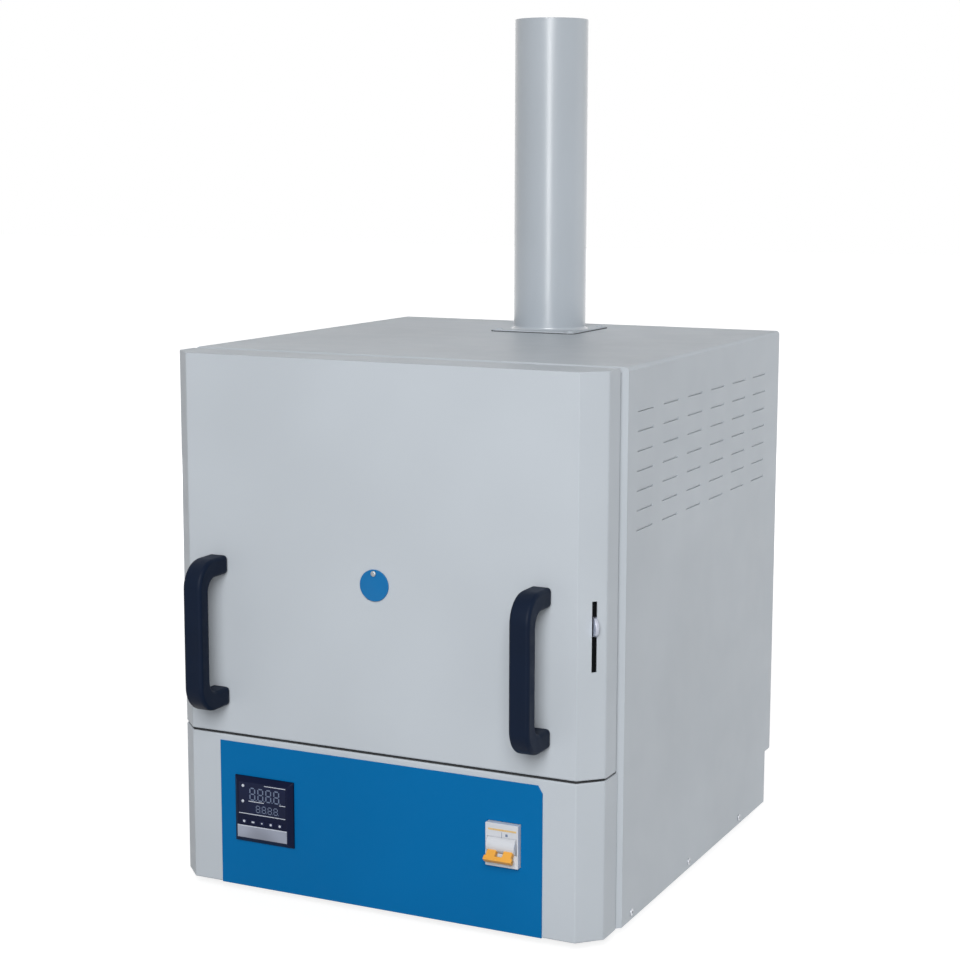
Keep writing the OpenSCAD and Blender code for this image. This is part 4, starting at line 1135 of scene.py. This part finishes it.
class FURNACE_OT_breaker(Step, Operator):
    """Finish the circuit breaker's front, and shape its linked toggles"""
    bl_idname = "furnace.breaker"
    bl_label = "Circuit breaker"

    def execute(self, context):
        dress("breaker", "breaker_case", 0.6, 3)
        dress("breaker_rail", "breaker_rail_steel", 0.3, 1)
        dress("heat_sink", "heat_sink_fins", 0.3, 1)
        front = front_of(BREAKER)
        # The split is a thin dark line of painted shade, where the two poles meet in a recess.
        tags = (("breaker_band", 0.5, 16, 31, 1.9, 0.15, "band_ink"),
                ("breaker_split", 0, 5, 0.5, 18, 0.05, "figure_ink"),
                ("breaker_flag", 5.4, 11.2, 2.6, 2.6, 0.15, "figure_ink"))
        for name, x, z, w, h, proud, ink in tags:
            tag = round_edges(flat_mark(name, front, x, z, w, h, proud, 0.2), 0.07 * MM, 1)
            finish_piece(tag, "breaker_white", finish=ink)
        self.toggles(front + Vector((0, 4 * MM, 0)))
        return {"FINISHED"}

    def toggles(self, axis):
        """A white drum across both poles, with two orange levers that a bar links."""
        half, drum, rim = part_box("toggle")[1].x - axis.x, 9 * MM, 0.5 * MM
        piece = turned("drum", [
            (0, -half), (drum - rim, -half), (drum, rim - half),
            (drum, half - rim), (drum - rim, half), (0, half)])
        settle(piece, axis, (0, RIGHT, 0))
        reach, thick, pole, leg = 20 * MM, 6 * MM, 9 * MM, 5 * MM
        lever = block("lever", (-half, -reach, -thick / 2), (half, -drum / 2, thick / 2))
        for x0, x1 in ((-2 * half, -pole - leg), (leg - pole, pole - leg), (pole + leg, 2 * half)):
            cut(lever, block("gap", (x0, leg - reach, -thick), (x1, 0, thick)))
        round_edges(lever, self.sizes.toggle_round, 3, 40)
        settle(lever, axis, (math.radians(45), 0, 0))
        stand_in(join("toggle_pair", [piece, lever]), "toggle")
        edge = drum + 0.1 * MM
        coat(piece, "breaker_white",
             lambda f: math.hypot(f.center.y - axis.y, f.center.z - axis.z) < edge)


class FURNACE_OT_studio(Step, Operator):
    """Lay the floor, hang the lamps and set up the camera"""
    bl_idname = "furnace.studio"
    bl_label = "Studio"

    def execute(self, context):
        s = context.scene.furnace_studio
        self.floor(s)
        self.sky(context, s)
        self.softbox("key_softbox", s.key, 2.0, 2.0, 20, 28, 4.2)
        self.softbox("side_softbox", s.side, 1.5, 1.5, 130, 5, 3.2).visible_glossy = False
        self.softbox("rear_softbox", s.rear, 2.0, 1.5, 215, 6, 3.2).visible_glossy = False
        self.softbox("strip_softbox", s.strip, 0.5, 0.8, 19, 7.5, 2.3)
        self.camera(context)
        return {"FINISHED"}

    def floor(self, s):
        """A matt floor that keeps the shadow, and pales to white with its distance."""
        floor = add("plane", "floor", size=30)
        skin = start_skin("studio_floor", s.ground, 0.9)
        material = skin.material
        away = add_node(material, "VectorMath", {0: skin.place}, operation="LENGTH")
        pale = add_node(material, "MapRange", {
            "Value": away.outputs["Value"], "From Min": 0.9, "From Max": 3.5, "To Min": 0.8},
            interpolation_type="SMOOTHSTEP")
        level = add_node(material, "Math", {0: seen(material), 1: pale.outputs["Result"]},
                         operation="MULTIPLY")
        glow = add_node(material, "Emission", {
            "Color": (1, 1, 1, 1), "Strength": level.outputs[0]})
        both = add_node(material, "AddShader", {0: skin.shader.outputs[0], 1: glow.outputs[0]})
        out = next(n for n in material.node_tree.nodes if n.type == "OUTPUT_MATERIAL")
        material.node_tree.links.new(both.outputs[0], out.inputs["Surface"])
        floor.data.materials.append(material)

    def sky(self, context, s):
        """An even room: white where it is seen, softer where it lights."""
        world = context.scene.world = bpy.data.worlds.new("studio")
        world.use_nodes = True
        world.node_tree.nodes.clear()
        level = add_node(world, "MapRange", {"Value": seen(world), "To Min": s.fill})
        back = add_node(world, "Background", {
            "Color": (1, 1, 1, 1), "Strength": level.outputs["Result"]})
        add_node(world, "OutputWorld", {"Surface": back.outputs[0]})

    def softbox(self, name, power, width, height, azimuth, elevation, distance):
        """A rectangular lamp that looks at the middle of the furnace and isn't seen itself."""
        light = bpy.data.lights.new(name, "AREA")
        light.shape, light.size, light.size_y, light.energy = "RECTANGLE", width, height, power
        lamp = new_object(name, light)
        a, e = math.radians(azimuth), math.radians(elevation)
        way = Vector((math.sin(a) * math.cos(e), -math.cos(a) * math.cos(e), math.sin(e)))
        lamp.location = Vector((0, 0, 0.45)) + way * distance
        lamp.rotation_euler = (-way).to_track_quat("-Z", "Y").to_euler()
        lamp.visible_camera = False
        return lamp

    def camera(self, context):
        """A 77 mm lens a little above the door's top, to the furnace's right."""
        lens = bpy.data.cameras.new("camera")
        lens.lens, lens.sensor_width = 76.96, 36
        camera = new_object("camera", lens)
        yaw, pitch, roll = (math.radians(a) for a in (25.735, -8.87, 0.113))
        camera.matrix_world = Matrix.Translation((0.9840, -2.0388, 0.7812)) @ (
            Matrix.Rotation(yaw, 4, "Z") @ Matrix.Rotation(RIGHT + pitch, 4, "X")
            @ Matrix.Rotation(roll, 4, "Z"))
        context.scene.camera = camera
        context.scene.view_settings.view_transform = "Standard"


STEPS = Step.__subclasses__()  # in the order of this file


class FURNACE_PT_panel(Panel):
    """Steps, sizes and colours of the furnace"""
    bl_idname = "FURNACE_PT_panel"
    bl_label = "Muffle Furnace"
    bl_space_type = "VIEW_3D"
    bl_region_type = "UI"
    bl_category = "Furnace"

    def draw(self, context):
        for step in STEPS:
            self.layout.operator(step.bl_idname)
        for name in ("furnace_sizes", "furnace_colours", "furnace_studio"):
            group = getattr(context.scene, name)
            box = self.layout.box()
            for key in group.bl_rna.properties.keys():
                if key not in {"rna_type", "name"}:
                    box.prop(group, key)


GROUPS = {"furnace_sizes": FurnaceSizes, "furnace_colours": FurnaceColours,
          "furnace_studio": FurnaceStudio}
CLASSES = (*GROUPS.values(), *STEPS, FURNACE_PT_panel)


def register():
    for item in CLASSES:
        bpy.utils.register_class(item)
    for name, group in GROUPS.items():
        setattr(bpy.types.Scene, name, bpy.props.PointerProperty(type=group))


def unregister():
    for name in GROUPS:
        delattr(bpy.types.Scene, name)
    for item in reversed(CLASSES):
        bpy.utils.unregister_class(item)


def main():
    register()
    for step in STEPS:
        getattr(bpy.ops.furnace, step.bl_idname.split(".")[1])()


if __name__ == "__main__":
    main()
